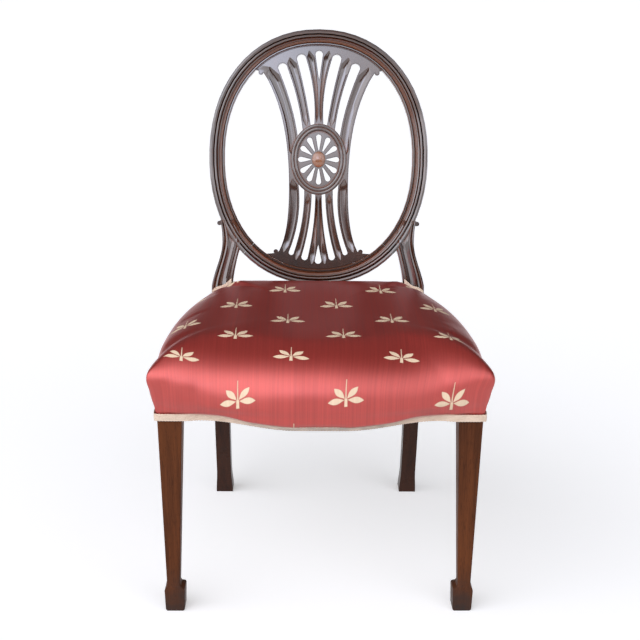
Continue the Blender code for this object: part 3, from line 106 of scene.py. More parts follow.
WEB_WIDTH = 0.05
WEB_THICKNESS = 0.0016
WEB_LEVEL = 0.4177
WEB_LIFT = 0.0021
WEB_LONG_PLACES = (-0.132, -0.044, 0.044, 0.132)
WEB_CROSS_PLACES = (0.095, 0.2, 0.305)

BACK_LEAN = math.radians(11.5)
WHEEL_HALF_WIDTH = 0.054
WHEEL_HALF_HEIGHT = 0.068


def mixed(start, end, share):
    return start + (end - start) * share


def eased(share):
    return 0.5 - 0.5 * math.cos(math.pi * min(max(share, 0.0), 1.0))


# Outline of the seat


def front_face(x):
    away = abs(x)
    if away < 0.195:
        return mixed(-0.04, 0.004, eased((away - 0.035) / 0.16))
    return mixed(0.004, 0.0, eased((away - 0.195) / 0.0314))


def side_face(y):
    return LEG_OUTER - 0.0592 * max(y / SEAT_DEPTH, 0.0) ** 2.65


def post_front(z):
    if z < 0.3845:
        return SEAT_DEPTH + 0.0615 * ((0.3845 - z) / 0.3845) ** 1.8
    into = min(z - 0.3845, 0.08)
    above = max(z - 0.4645, 0.0)
    return SEAT_DEPTH + math.tan(BACK_LEAN) * (into * into / 0.16 + above)


def crowded(share):
    """Moves evenly spaced shares closer together towards both ends."""
    return math.sin(share * 1.22) / math.sin(1.22)


def rim_point(across, along):
    """A point of the seat's outline, the way out from it, the stuffing's bulge and its share of the back."""
    if along <= -0.999999:
        x = LEG_OUTER * crowded(across)
        slope = (front_face(x + 0.001) - front_face(x - 0.001)) / 0.002
        way = Vector((slope, -1.0)).normalized()
        turn = eased((abs(x) - LEG_OUTER + CORNER_ROUND) / CORNER_ROUND)
        way = way.lerp(Vector((math.copysign(1.0, x), -1.0)).normalized(), turn).normalized()
        even = mixed(front_face(0.0), front_face(LEG_OUTER), (x / LEG_OUTER) ** 2)
        bulge = PAD_BULGE + 0.65 * max(front_face(x) - even, 0.0)
        return Vector((x, front_face(x))), way, bulge, 0.0
    if along >= 0.999999:
        corner = side_face(SEAT_DEPTH)
        x = corner * crowded(across)
        rear = eased((corner - abs(x)) / (corner - POST_INNER))
        bulge = mixed(PAD_SIDE_BULGE, PAD_REAR_BULGE, rear)
        return Vector((x, PAD_BACK)), Vector((0.0, 1.0)), bulge, rear
    y = PAD_BACK * 0.5 * (crowded(along) + 1.0)
    side = math.copysign(1.0, across)
    slope = (side_face(y + 0.001) - side_face(y - 0.001)) / 0.002
    way = Vector((side, -slope)).normalized()
    turn = eased((CORNER_ROUND - y) / CORNER_ROUND)
    way = way.lerp(Vector((side, -1.0)).normalized(), turn).normalized()
    bulge = mixed(PAD_BULGE, PAD_SIDE_BULGE, eased(y / PAD_CORNER_REACH))
    return Vector((side * side_face(y), y)), way, bulge, 0.0


# Profile of the seat from its middle to the lower edge of its cover, in even steps of length


def seat_profile():
    raw = []
    steps = 300
    for step in range(steps + 1):
        turn = math.pi / 2 * step / steps
        reach = math.sin(turn) ** (2 / PAD_SQUARENESS)
        rise = math.cos(turn) ** (2 / PAD_SQUARENESS)
        raw.append((reach, max(rise, 0.0), 1.0))
    raw.extend((1.0, 0.0, 1.0 - step / 100) for step in range(1, 101))
    length = [0.0]
    for (reach, rise, low), (next_reach, next_rise, next_low) in zip(raw, raw[1:]):
        flat = 0.25 * (next_reach - reach)
        fall = 0.0635 * (next_rise - rise) + 0.067 * (next_low - low)
        length.append(length[-1] + math.hypot(flat, fall))
    return raw, length


PROFILE, PROFILE_LENGTH = seat_profile()


def profile_at(share):
    """Reach from the middle, rise above the widest line and height up the wall."""
    wanted = share * PROFILE_LENGTH[-1]
    low, high = 0, len(PROFILE) - 1
    while high - low > 1:
        half = (low + high) // 2
        if PROFILE_LENGTH[half] <= wanted:
            low = half
        else:
            high = half
    part = (wanted - PROFILE_LENGTH[low]) / max(PROFILE_LENGTH[high] - PROFILE_LENGTH[low], 1e-9)
    return [mixed(first, second, part) for first, second in zip(PROFILE[low], PROFILE[high])]


def rear_wall(low):
    """Way back and height of the apron behind the rear rail, from its top to its lower edge."""
    if low > 0.62:
        share = (1.0 - low) / 0.38
        return mixed(PAD_REAR_BULGE, 0.006, share), mixed(PAD_REAR_WIDEST, APRON_TOP + 0.004, share)
    if low > 0.38:
        share = (0.62 - low) / 0.24
        return mixed(0.006, APRON_OUT, share), APRON_TOP + 0.004 * (1.0 - share) ** 2
    share = (0.38 - low) / 0.38
    return APRON_OUT, mixed(APRON_TOP, COVER_REAR_BOTTOM, share)


def dish(x, y):
    away = math.hypot(x / 0.225, (y - DISH_CENTRE) / 0.2)
    return DISH_DEPTH * (1.0 - eased(away))


def front_roll(rim, along):
    """A ray's share of the big front roll: all of it along the front, part of it at the corners."""
    if along <= -0.999999:
        return mixed(1.0, CORNER_ROLL, eased((abs(rim.x) - 0.15) / (LEG_OUTER - 0.15)))
    return CORNER_ROLL * (1.0 - eased((along + 1.0) / 0.55))


def seat_point(u, v, ease=0.0):
    """The place on the seat for a point of the cloth, drawn in by ease for the start of the swelling."""
    share = max(abs(u), abs(v), 1e-6)
    rim, way, bulge, rear = rim_point(u / share, v / share)
    reach, rise, low = profile_at(share)
    widest = mixed(PAD_WIDEST, PAD_REAR_WIDEST, rear)
    shoulder = rim + way * (bulge - ease * 0.5)
    bow = front_roll(rim, v / share)
    rolled_widest = mixed(widest, FRONT_TOP - FRONT_ROLL, bow)
    middle = Vector((0.0, PAD_CENTRE))
    if low > 0.99999:
        place = middle.lerp(shoulder, reach)
        z = widest + (PAD_CROWN - ease - widest) * rise
        z -= dish(place.x, place.y) * min(rise * 1.2, 1.0)
        away = max(abs(shoulder.x), abs(shoulder.y - PAD_CENTRE)) * (1.0 - reach)
        inside = max(FRONT_ROLL - away, 0.0)
        if inside > 0.0:
            fall = FRONT_ROLL - math.sqrt(max(FRONT_ROLL**2 - inside**2, 0.0))
            rolled = mixed(z, FRONT_TOP, eased(inside / 0.05)) - fall
            z = mixed(z, min(rolled, z + 0.004), bow)
    elif v / share >= 0.999999 and abs(rim.x) < POST_INNER - 0.001:
        out, z = rear_wall(low)
        place = rim + way * out
    else:
        z = mixed(mixed(COVER_BOTTOM, APRON_TOP + 0.0015, rear), rolled_widest, low)
        clear = max(z - RAIL_BOTTOM - BRAID_WIDTH, 0.0) / (rolled_widest - RAIL_BOTTOM - BRAID_WIDTH)
        place = rim + way * mixed(COVER_STAND, bulge - ease * 0.5, math.sin(math.pi / 2 * clear) ** 0.6)
    x, y = place
    if abs(x) > POST_INNER - 0.001:
        y = min(y, post_front(z) - 0.0006)
    return Vector((x, y - MIDDLE, z))


def cloth_measure(work, flat, steps):
    """Lengths over the formed seat at each grid point: across from the middle and along from the front."""
    place = {}
    for vertex, (u, v) in zip(work.verts, flat):
        place[round((u + 1.0) * steps / 2), round((v + 1.0) * steps / 2)] = vertex.co
    half = steps // 2
    across, along = {}, {}
    for line in range(steps + 1):
        across[half, line] = place[half, line].x
        along[line, half] = place[line, half].y + MIDDLE
        for way in (1, -1):
            for count in range(half):
                i, j = half + way * count, half + way * (count + 1)
                step = place[j, line] - place[i, line]
                across[j, line] = across[i, line] + way * math.hypot(step.x, step.z)
                step = place[line, j] - place[line, i]
                along[line, j] = along[line, i] + way * math.hypot(step.y, step.z)
    return across, along


def stretched_row(x, along):
    """The flat cloth's measure at a length over the seat, with the rows pulled level across the front."""
    along -= 0.014 * eased(abs(x) / 0.12) * eased((0.08 - along) / 0.08)
    for (low, low_cloth), (high, high_cloth) in zip(ROWS, ROWS[1:]):
        if along < high:
            break
    return low_cloth + (high_cloth - low_cloth) * (along - low) / (high - low)


# Pieces


def new_piece(name, work, material, nodes=(), smooth=True):
    """Makes a piece from a bmesh, lets it ride on the chair and hides the solids it stands for."""
    mesh = bpy.data.meshes.new(name)
    work.to_mesh(mesh)
    work.free()
    mesh.materials.append(material)
    for face in mesh.polygons:
        face.use_smooth = smooth
    piece = bpy.data.objects.new(name, mesh)
    scene.collection.objects.link(piece)
    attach(piece, "root")
    if nodes:
        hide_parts(*nodes)
    return piece


def grid(along, across):
    """A flat grid whose points run from -1 to 1 both ways."""
    work = bmesh.new()
    bmesh.ops.create_grid(work, x_segments=along, y_segments=across, size=1.0)
    work.verts.index_update()
    return work


def whole(work):
    return work.verts[:] + work.edges[:] + work.faces[:]


def thicken(piece, thickness, offset=-1.0):
    modifier = piece.modifiers.new("thickness", "SOLIDIFY")
    modifier.thickness = thickness
    modifier.offset = offset


def round_off(piece):
    modifier = piece.modifiers.new("rounding", "SUBSURF")
    modifier.levels = 1
    modifier.render_levels = 1


def swell(piece, held, cap):
    """Lets the cloth swell under a light pressure, with the held points fixed and every move capped."""
    start = [vertex.co.copy() for vertex in piece.data.vertices]
    group = piece.vertex_groups.new(name="held")
    group.add(held, 1.0, "REPLACE")
    modifier = piece.modifiers.new("swelling", "CLOTH")
    settings = modifier.settings
    settings.quality = 6
    settings.mass = 0.25
    settings.tension_stiffness = 25.0
    settings.compression_stiffness = 25.0
    settings.shear_stiffness = 12.0
    settings.bending_stiffness = 1.0
    settings.use_pressure = True
    settings.uniform_pressure_force = 4.0
    settings.effector_weights.gravity = 0.0
    settings.vertex_group_mass = group.name
    modifier.collision_settings.use_collision = False
    modifier.point_cache.frame_start = 1
    modifier.point_cache.frame_end = 20
    for step in range(1, 21):
        scene.frame_set(step)
    shaped = piece.evaluated_get(bpy.context.evaluated_depsgraph_get()).to_mesh()
    ends = [vertex.co.copy() for vertex in shaped.vertices]
    piece.modifiers.remove(modifier)
    piece.vertex_groups.remove(group)
    for vertex, first, last in zip(piece.data.vertices, start, ends):
        move = last - first
        vertex.co = first + move * min(1.0, cap / max(move.length, 1e-9))
    scene.frame_set(1)


# Shader nodes


def add(tree, kind, inputs=None, **settings):
    """Adds a node, sets it and fills its inputs with values or with links from other nodes."""
    made = tree.nodes.new(kind)
    for name, value in settings.items():
        setattr(made, name, value)
    for key, value in (inputs or {}).items():
        if isinstance(value, bpy.types.NodeSocket):
            tree.links.new(value, made.inputs[key])
        else:
            made.inputs[key].default_value = value
    return made


def maths(tree, operation, *values):
    return add(tree, "ShaderNodeMath", dict(enumerate(values)), operation=operation).outputs[0]


def times(tree, first, second):
    return maths(tree, "MULTIPLY", first, second)


def plus(tree, first, second):
    return maths(tree, "ADD", first, second)


def minus(tree, first, second):
    return maths(tree, "SUBTRACT", first, second)


def size_of(tree, value):
    return maths(tree, "ABSOLUTE", value)


def wave(tree, value, length):
    return maths(tree, "SINE", maths(tree, "MULTIPLY", value, 2 * math.pi / length))


def vectors(tree, operation, inputs, output=0):
    return add(tree, "ShaderNodeVectorMath", inputs, operation=operation).outputs[output]


def split(tree, vector):
    return add(tree, "ShaderNodeSeparateXYZ", {0: vector}).outputs


def noise(tree, vector, scale, detail=3.0, roughness=0.5):
    inputs = {"Vector": vector, "Scale": scale, "Detail": detail, "Roughness": roughness}
    return add(tree, "ShaderNodeTexNoise", inputs).outputs[0]


def stretched(tree, vector, scale, turn=(0.0, 0.0, 0.0)):
    return add(tree, "ShaderNodeMapping", {"Vector": vector, "Scale": scale, "Rotation": turn}).outputs[0]


def ranged(tree, value, from_low, from_high, to_low, to_high, soft=False):
    limits = {"From Min": from_low, "From Max": from_high, "To Min": to_low, "To Max": to_high}
    kind = "SMOOTHSTEP" if soft else "LINEAR"
    return add(tree, "ShaderNodeMapRange", {"Value": value, **limits}, interpolation_type=kind).outputs[0]


def blended(tree, share, first, second):
    return add(tree, "ShaderNodeMix", {0: share, 6: first, 7: second}, data_type="RGBA").outputs[2]


def blended_value(tree, share, first, second):
    kept = times(tree, minus(tree, 1.0, share), first)
    return plus(tree, kept, times(tree, share, second))


def bumped(tree, height, strength, distance, normal=None):
    """A normal that follows a height, on top of another normal where one is given."""
    inputs = {"Strength": strength, "Distance": distance, "Height": height}
    if normal is not None:
        inputs["Normal"] = normal
    return add(tree, "ShaderNodeBump", inputs).outputs[0]


def openness(tree, distance, inside=False):
    """How open a piece's surface is within a distance, looking out from it or into its own wood."""
    settings = {"samples": 8, "inside": inside, "only_local": True}
    return add(tree, "ShaderNodeAmbientOcclusion", {"Distance": distance}, **settings).outputs["AO"]


def colour(red, green, blue):
    return (red, green, blue, 1.0)


def darker(tone, share):
    return colour(*[share * part for part in tone[:3]])


def new_group(name, inputs, outputs):
    """An empty node group with its sockets, its tree and the two end nodes."""
    tree = bpy.data.node_groups.new(name, "ShaderNodeTree")
    for socket, kind in inputs:
        tree.interface.new_socket(name=socket, in_out="INPUT", socket_type=kind)
    for socket, kind in outputs:
        tree.interface.new_socket(name=socket, in_out="OUTPUT", socket_type=kind)
    return tree, tree.nodes.new("NodeGroupInput"), tree.nodes.new("NodeGroupOutput")


VECTOR = "NodeSocketVector"
NUMBER = "NodeSocketFloat"


def new_material(name):
    material = bpy.data.materials.new(name)
    material.use_nodes = True
    tree = material.node_tree
    return material, tree, tree.nodes["Principled BSDF"]


def set_values(shader, values):
    for name, value in values.items():
        shader.inputs[name].default_value = value


# Wood


def wood_group():
    """Streaks, pores and slow changes of colour of a board whose grain runs along Z of the given vector."""
    tree, start, end = new_group(
        "Wood grain",
        [("Vector", VECTOR)],
        [("Streaks", NUMBER), ("Pores", NUMBER), ("Slow", NUMBER), ("Polish", NUMBER)],
    )
    vector = start.outputs[0]
    wander = noise(tree, stretched(tree, vector, (7.0, 7.0, 2.0)), 1.0, 2.0)
    bent = vectors(tree, "ADD", {0: vector, 1: (0.012, 0.012, 0.0)})
    bent = vectors(tree, "ADD", {0: bent, 1: vectors(tree, "SCALE", {0: (0.03, 0.02, 0.0), 3: wander})})
    broad = noise(tree, stretched(tree, bent, (110.0, 110.0, 4.0)), 1.0, 4.0, 0.55)
    fine = noise(tree, stretched(tree, bent, (520.0, 520.0, 14.0)), 1.0, 3.0, 0.6)
    streaks = plus(tree, times(tree, broad, 0.68), times(tree, fine, 0.32))
    dashes = noise(tree, stretched(tree, bent, (1500.0, 1500.0, 75.0)), 1.0, 1.0)
    slow = noise(tree, stretched(tree, vector, (9.0, 9.0, 4.0)), 1.0, 2.0)
    polish = noise(tree, vector, 26.0, 4.0, 0.6)
    tree.links.new(ranged(tree, streaks, 0.3, 0.7, 0.0, 1.0), end.inputs[0])
    tree.links.new(ranged(tree, dashes, 0.58, 0.7, 0.0, 1.0, True), end.inputs[1])
    tree.links.new(ranged(tree, slow, 0.3, 0.7, 0.0, 1.0), end.inputs[2])
    tree.links.new(ranged(tree, polish, 0.3, 0.7, 0.0, 1.0), end.inputs[3])
    return tree


WOOD_GRAIN = wood_group()


def wheel_ridges(tree, place):
    """Height of a ridge along each spoke of the wheel, round the middle of its boss."""
    low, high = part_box("splat_boss")
    middle = (low + high) / 2
    away = split(tree, vectors(tree, "SUBTRACT", {0: place, 1: tuple(middle)}))
    across = maths(tree, "DIVIDE", away[0], WHEEL_HALF_WIDTH)
    up = maths(tree, "DIVIDE", away[2], WHEEL_HALF_HEIGHT * math.cos(BACK_LEAN))
    turn = times(tree, maths(tree, "ARCTAN2", up, across), 12 / (2 * math.pi))
    ridge = times(tree, maths(tree, "PINGPONG", turn, 0.5), 2.0)
    reach = maths(tree, "SQRT", plus(tree, times(tree, across, across), times(tree, up, up)))
    inner = ranged(tree, reach, 0.26, 0.32, 0.0, 1.0, True)
    outer = ranged(tree, reach, 0.72, 0.8, 1.0, 0.0, True)
    return times(tree, ridge, times(tree, inner, outer))


def wood(
    name, turn, tones, gloss, coat, specular=0.25, hollow=None, wheel=False, dull_below=None, dusty_below=None
):
    """A polished or plain wood, its grain turned to run along the piece, with warmer polish in its hollows
    and painted shade in its narrowest grooves.

    Under the height dull_below the polish has worn off, and under dusty_below there is dust on the wood.
    """
    dark, middle, warm = tones
    material, tree, shader = new_material(name)
    place = add(tree, "ShaderNodeTexCoord").outputs["Object"]
    level = split(tree, place)[2]
    vector = stretched(tree, place, (1.0, 1.0, 1.0), turn)
    streaks, pores, slow, polish = add(tree, "ShaderNodeGroup", {0: vector}, node_tree=WOOD_GRAIN).outputs
    paint = blended(tree, streaks, dark, middle)
    paint = blended(tree, times(tree, slow, 0.55), paint, warm)
    paint = blended(tree, times(tree, pores, 0.5), paint, darker(dark, 0.45))
    if hollow:
        open_share = openness(tree, 0.007)
        sunk = ranged(tree, open_share, 0.88, 0.7, 0.0, 1.0, True)
        paint = blended(tree, times(tree, sunk, 0.8), paint, hollow)
        # Painted shade: the narrowest grooves, where the piece's own surface closes in around them, are
        # painted near black.
        groove_shade = ranged(tree, open_share, 0.66, 0.5, 0.0, 0.95, True)
        paint = blended(tree, groove_shade, paint, colour(0.006, 0.0025, 0.0015))
    if wheel:
        edge = ranged(tree, openness(tree, 0.0032, True), 0.82, 0.55, 0.0, 0.85, True)
        paint = blended(tree, edge, paint, colour(0.035, 0.011, 0.005))
    if dusty_below:
        low = ranged(tree, level, 0.0, dusty_below, 1.0, 0.0, True)
        dust = times(tree, low, ranged(tree, polish, 0.2, 0.8, 0.45, 1.0))
        paint = blended(tree, dust, paint, colour(0.034, 0.022, 0.018))
    tree.links.new(paint, shader.inputs["Base Color"])
    rough = ranged(tree, polish, 0.0, 1.0, gloss - 0.05, gloss + 0.09)
    tree.links.new(plus(tree, rough, times(tree, pores, 0.08)), shader.inputs["Roughness"])
    normal = add(tree, "ShaderNodeBevel", {"Radius": 0.0024 if hollow else 0.001}, samples=6).outputs[0]
    if wheel:
        normal = bumped(tree, wheel_ridges(tree, place), 0.9, 0.0022, normal)
    waves = noise(tree, stretched(tree, vector, (210.0, 210.0, 26.0)), 1.0, 3.0, 0.55)
    normal = bumped(tree, waves, 0.5 * coat, 0.0014, normal)
    height = minus(tree, times(tree, streaks, 0.25), times(tree, pores, 0.5))
    tree.links.new(bumped(tree, height, 0.05, 0.0002, normal), shader.inputs["Normal"])
    values = {"Coat Weight": coat, "Coat Roughness": 0.1, "Coat IOR": 2.05, "Specular IOR Level": specular}
    set_values(shader, values)
    if hollow:
        shine = ranged(tree, sunk, 0.0, 1.0, coat, 0.3 * coat)
        if wheel:
            shine = times(tree, shine, ranged(tree, edge, 0.0, 1.0, 1.0, 0.15))
        if dull_below:
            kept = ranged(tree, level, dull_below - 0.04, dull_below + 0.04, 0.08, 1.0, True)
            shine = times(tree, shine, kept)
        tree.links.new(shine, shader.inputs["Coat Weight"])
    return material


UPRIGHT = (0.0, 0.0, 0.0)
SIDEWAYS = (0.0, math.pi / 2, 0.0)
FORWARD = (math.pi / 2, 0.0, 0.0)

POLISHED = [colour(0.010, 0.003, 0.0015), colour(0.042, 0.012, 0.005), colour(0.085, 0.026, 0.010)]
LEG_TONES = [colour(0.018, 0.005, 0.002), colour(0.12, 0.034, 0.010), colour(0.16, 0.048, 0.014)]
BOSS_TONES = [colour(0.14, 0.045, 0.018), colour(0.3, 0.105, 0.04), colour(0.36, 0.14, 0.05)]
BEECH_TONES = [colour(0.27, 0.155, 0.08), colour(0.4, 0.255, 0.14), colour(0.36, 0.215, 0.11)]

WARM_HOLLOW = colour(0.23, 0.07, 0.025)
POLISH = {"gloss": 0.28, "coat": 1.0, "specular": 0.1, "hollow": WARM_HOLLOW}
POST_WOOD = wood("Polished mahogany upright", UPRIGHT, POLISHED, **POLISH, dull_below=0.44)
SPLAT_WOOD = wood("Polished mahogany splat", UPRIGHT, POLISHED, **POLISH, wheel=True)
RAIL_WOOD = wood("Polished mahogany across", SIDEWAYS, POLISHED, **POLISH)
LEG_WOOD = wood("Plain mahogany", UPRIGHT, LEG_TONES, 0.42, 0.03, 0.08, dusty_below=0.1)
BOSS_WOOD = wood("Light mahogany", UPRIGHT, BOSS_TONES, 0.3, 0.7)
BEECH_ACROSS = wood("Bare beech across", SIDEWAYS, BEECH_TONES, 0.6, 0.0)
BEECH_FORWARD = wood("Bare beech front to back", FORWARD, BEECH_TONES, 0.6, 0.0)

WOODS = {
    "rear_post_left": POST_WOOD,
    "rear_post_right": POST_WOOD,
    "splat": SPLAT_WOOD,
    "crest_rail": RAIL_WOOD,
    "lower_oval_rail": RAIL_WOOD,
    "rear_seat_rail": RAIL_WOOD,
    "splat_boss": BOSS_WOOD,
    "front_leg_left": LEG_WOOD,
    "front_leg_right": LEG_WOOD,
    "front_seat_rail": BEECH_ACROSS,
    "side_seat_rail_left": BEECH_FORWARD,
    "side_seat_rail_right": BEECH_FORWARD,
    "corner_block_front_left": BEECH_ACROSS,
    "corner_block_front_right": BEECH_ACROSS,
    "corner_block_rear_left": BEECH_ACROSS,
    "corner_block_rear_right": BEECH_ACROSS,
}


def smoothing_group():
    """Joins the loose triangles of a solid and shades it smooth, except across its sharp edges."""
    tree = bpy.data.node_groups.new("Smooth sides", "GeometryNodeTree")
    tree.interface.new_socket(name="Geometry", in_out="INPUT", socket_type="NodeSocketGeometry")
    tree.interface.new_socket(name="Geometry", in_out="OUTPUT", socket_type="NodeSocketGeometry")
    start = tree.nodes.new("NodeGroupInput")
    end = tree.nodes.new("NodeGroupOutput")
    joined = add(tree, "GeometryNodeMergeByDistance", {"Geometry": start.outputs[0], "Distance": 0.00001})
    smooth = add(tree, "GeometryNodeSetShadeSmooth", {0: joined.outputs[0], 2: True}, domain="FACE")
    angle = tree.nodes.new("GeometryNodeInputMeshEdgeAngle")
    limits = {0: angle.outputs[0], 1: math.radians(32)}
    sharp = add(tree, "FunctionNodeCompare", limits, operation="GREATER_THAN")
    edges = {0: smooth.outputs[0], 1: sharp.outputs[0], 2: False}
    parted = add(tree, "GeometryNodeSetShadeSmooth", edges, domain="EDGE")
    tree.links.new(parted.outputs[0], end.inputs[0])
    return tree


SMOOTH_SIDES = smoothing_group()


def dress_woods():
    for name, material in WOODS.items():
        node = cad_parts[name]
        for slot in node.material_slots:
            slot.material = material
        modifier = node.modifiers.new("smooth sides", "NODES")
        modifier.node_group = SMOOTH_SIDES


# Cloth


def leaf(tree, across, along, tip, half_width):
    """A mask value that is positive inside a leaf from near the middle to its tip."""
    length = math.hypot(*tip)
    way = (tip[0] / length, tip[1] / length)
    forward = plus(tree, times(tree, across, way[0]), times(tree, along, way[1]))
    aside = minus(tree, times(tree, across, way[1]), times(tree, along, way[0]))
    share = ranged(tree, forward, LEAF_START, length, 0.0, 1.0)
    skew = maths(tree, "POWER", share, 1.25)
    width = times(tree, maths(tree, "SINE", times(tree, skew, math.pi)), half_width + LEAF_TRIM)
    return minus(tree, width, plus(tree, size_of(tree, aside), LEAF_TRIM))


def figure_group():
    """A powdered figure of four leaves, a stem and a short foot, in rows that alternate by half a step."""
    outputs = [("Mask", NUMBER), ("Edge", NUMBER)]
    tree, start, end = new_group("Powdered figure", [("Vector", VECTOR)], outputs)
    parts = split(tree, start.outputs[0])
    across = maths(tree, "SNAP", parts[0], THREAD)
    along = maths(tree, "SNAP", parts[1], THREAD)
    row = maths(tree, "DIVIDE", minus(tree, FIGURE_START[1], along), FIGURE_ROW)
    number = maths(tree, "ROUND", row)
    local_along = times(tree, minus(tree, number, row), FIGURE_ROW)
    shift = times(tree, maths(tree, "PINGPONG", number, 1.0), FIGURE_ACROSS / 2)
    shift = plus(tree, shift, times(tree, number, FIGURE_DRIFT))
    local_across = minus(tree, minus(tree, across, FIGURE_START[0]), shift)
    local_across = maths(tree, "WRAP", local_across, FIGURE_ACROSS / 2, -FIGURE_ACROSS / 2)
    folded = times(tree, size_of(tree, local_across), 0.93)
    # The figures were drawn longer over the top and the front, and shorter over the edge between them
    drawn = ranged(tree, number, 3.4, 3.6, 0.82, 1.1)
    drawn = minus(tree, drawn, ranged(tree, number, 4.4, 4.6, 0.0, 0.25))
    local_along = times(tree, local_along, drawn)
    upper = leaf(tree, folded, local_along, (0.0192, 0.0208), 0.0050)
    lower = leaf(tree, folded, local_along, (0.0292, -0.003), 0.0053)
    up = ranged(tree, local_along, 0.0, 0.034, 0.0011, 0.0006)
    stem = minus(tree, up, folded)
    stem = maths(tree, "MINIMUM", stem, minus(tree, 0.033, local_along))
    stem = maths(tree, "MINIMUM", stem, plus(tree, local_along, 0.004))
    foot = ranged(tree, local_along, -0.012, 0.002, 0.0026, 0.0022)
    foot = minus(tree, foot, folded)
    foot = maths(tree, "MINIMUM", foot, plus(tree, local_along, 0.0115))
    foot = maths(tree, "MINIMUM", foot, minus(tree, 0.002, local_along))
    shape = maths(tree, "MAXIMUM", maths(tree, "MAXIMUM", upper, lower), maths(tree, "MAXIMUM", stem, foot))
    tree.links.new(ranged(tree, shape, -0.0002, 0.0003, 0.0, 1.0, True), end.inputs[0])
    tree.links.new(ranged(tree, size_of(tree, shape), 0.0, 0.0009, 1.0, 0.0, True), end.inputs[1])
    return tree


def satin_material():
    """Ribbed red satin with warp streaks and a woven cream figure."""
    material, tree, shader = new_material("Figured red satin")
    place = add(tree, "ShaderNodeUVMap", uv_map="cloth").outputs[0]
    figure = add(tree, "ShaderNodeGroup", {"Vector": place}, node_tree=figure_group())
    mask, edge = figure.outputs
    warp = noise(tree, stretched(tree, place, (900.0, 5.0, 1.0)), 1.0, 2.0, 0.6)
    broad = noise(tree, stretched(tree, place, (210.0, 3.0, 1.0)), 1.0, 2.0, 0.5)
    slow = noise(tree, stretched(tree, place, (9.0, 9.0, 1.0)), 1.0, 2.0, 0.5)
    streak = plus(tree, times(tree, warp, 0.55), times(tree, broad, 0.45))
    streak = ranged(tree, streak, 0.3, 0.7, 0.0, 1.0)
    ground = blended(tree, streak, colour(0.37, 0.026, 0.018), colour(0.56, 0.050, 0.036))
    ground = blended(tree, times(tree, slow, 0.25), ground, colour(0.41, 0.032, 0.022))
    cream = blended(tree, warp, colour(0.68, 0.50, 0.33), colour(0.88, 0.69, 0.49))
    paint = blended(tree, mask, ground, cream)
    paint = blended(tree, times(tree, edge, 0.35), paint, colour(0.30, 0.09, 0.06))
    tree.links.new(paint, shader.inputs["Base Color"])
    rough = plus(tree, ranged(tree, streak, 0.0, 1.0, 0.33, 0.42), times(tree, mask, 0.2))
    tree.links.new(rough, shader.inputs["Roughness"])
    tree.links.new(ranged(tree, mask, 0.0, 1.0, 0.62, 0.0), shader.inputs["Metallic"])
    tree.links.new(ranged(tree, mask, 0.0, 1.0, 0.5, 0.0), shader.inputs["Coat Weight"])
    parts = split(tree, place)
    rib = wave(tree, parts[0], 0.0012)
    pick = wave(tree, parts[1], 0.0009)
    height = plus(tree, times(tree, rib, 0.3), times(tree, streak, 0.5))
    height = plus(tree, height, times(tree, mask, 0.8))
    height = plus(tree, height, times(tree, times(tree, pick, mask), 0.35))
    tree.links.new(bumped(tree, height, 0.22, 0.0003), shader.inputs["Normal"])
    set_values(shader, {"Specular IOR Level": 0.3, "Coat Roughness": 0.36, "Coat IOR": 2.0})
    return material


def woven_material(name, across, along, pale, deep, stripe=None):
    """A plain coarse weave in the cloth's own measure, with an optional coloured line near each edge."""
    material, tree, shader = new_material(name)
    place = add(tree, "ShaderNodeUVMap", uv_map="cloth").outputs[0]
    parts = split(tree, place)
    warp = wave(tree, parts[0], across)
    weft = wave(tree, parts[1], along)
    cross = ranged(tree, times(tree, warp, weft), -1.0, 1.0, 0.0, 1.0)
    yarn = noise(tree, stretched(tree, place, (1.6 / across, 60.0, 1.0)), 1.0, 3.0, 0.6)
    slub = noise(tree, stretched(tree, place, (60.0, 1.6 / along, 1.0)), 1.0, 3.0, 0.6)
    uneven = ranged(tree, plus(tree, yarn, slub), 0.7, 1.3, 0.0, 1.0)
    paint = blended(tree, uneven, deep, pale)
    paint = blended(tree, times(tree, cross, 0.4), paint, darker(deep, 0.5))
    if stripe:
        edge, line, tone = stripe
        near = size_of(tree, minus(tree, size_of(tree, parts[0]), edge))
        paint = blended(tree, ranged(tree, near, line * 0.8, line, 0.75, 0.0, True), paint, tone)
    tree.links.new(paint, shader.inputs["Base Color"])
    tree.links.new(ranged(tree, uneven, 0.0, 1.0, 0.78, 0.92), shader.inputs["Roughness"])
    tree.links.new(bumped(tree, cross, 0.6, 0.0006), shader.inputs["Normal"])
    set_values(shader, {"Sheen Weight": 0.2, "Sheen Roughness": 0.6})
    return material


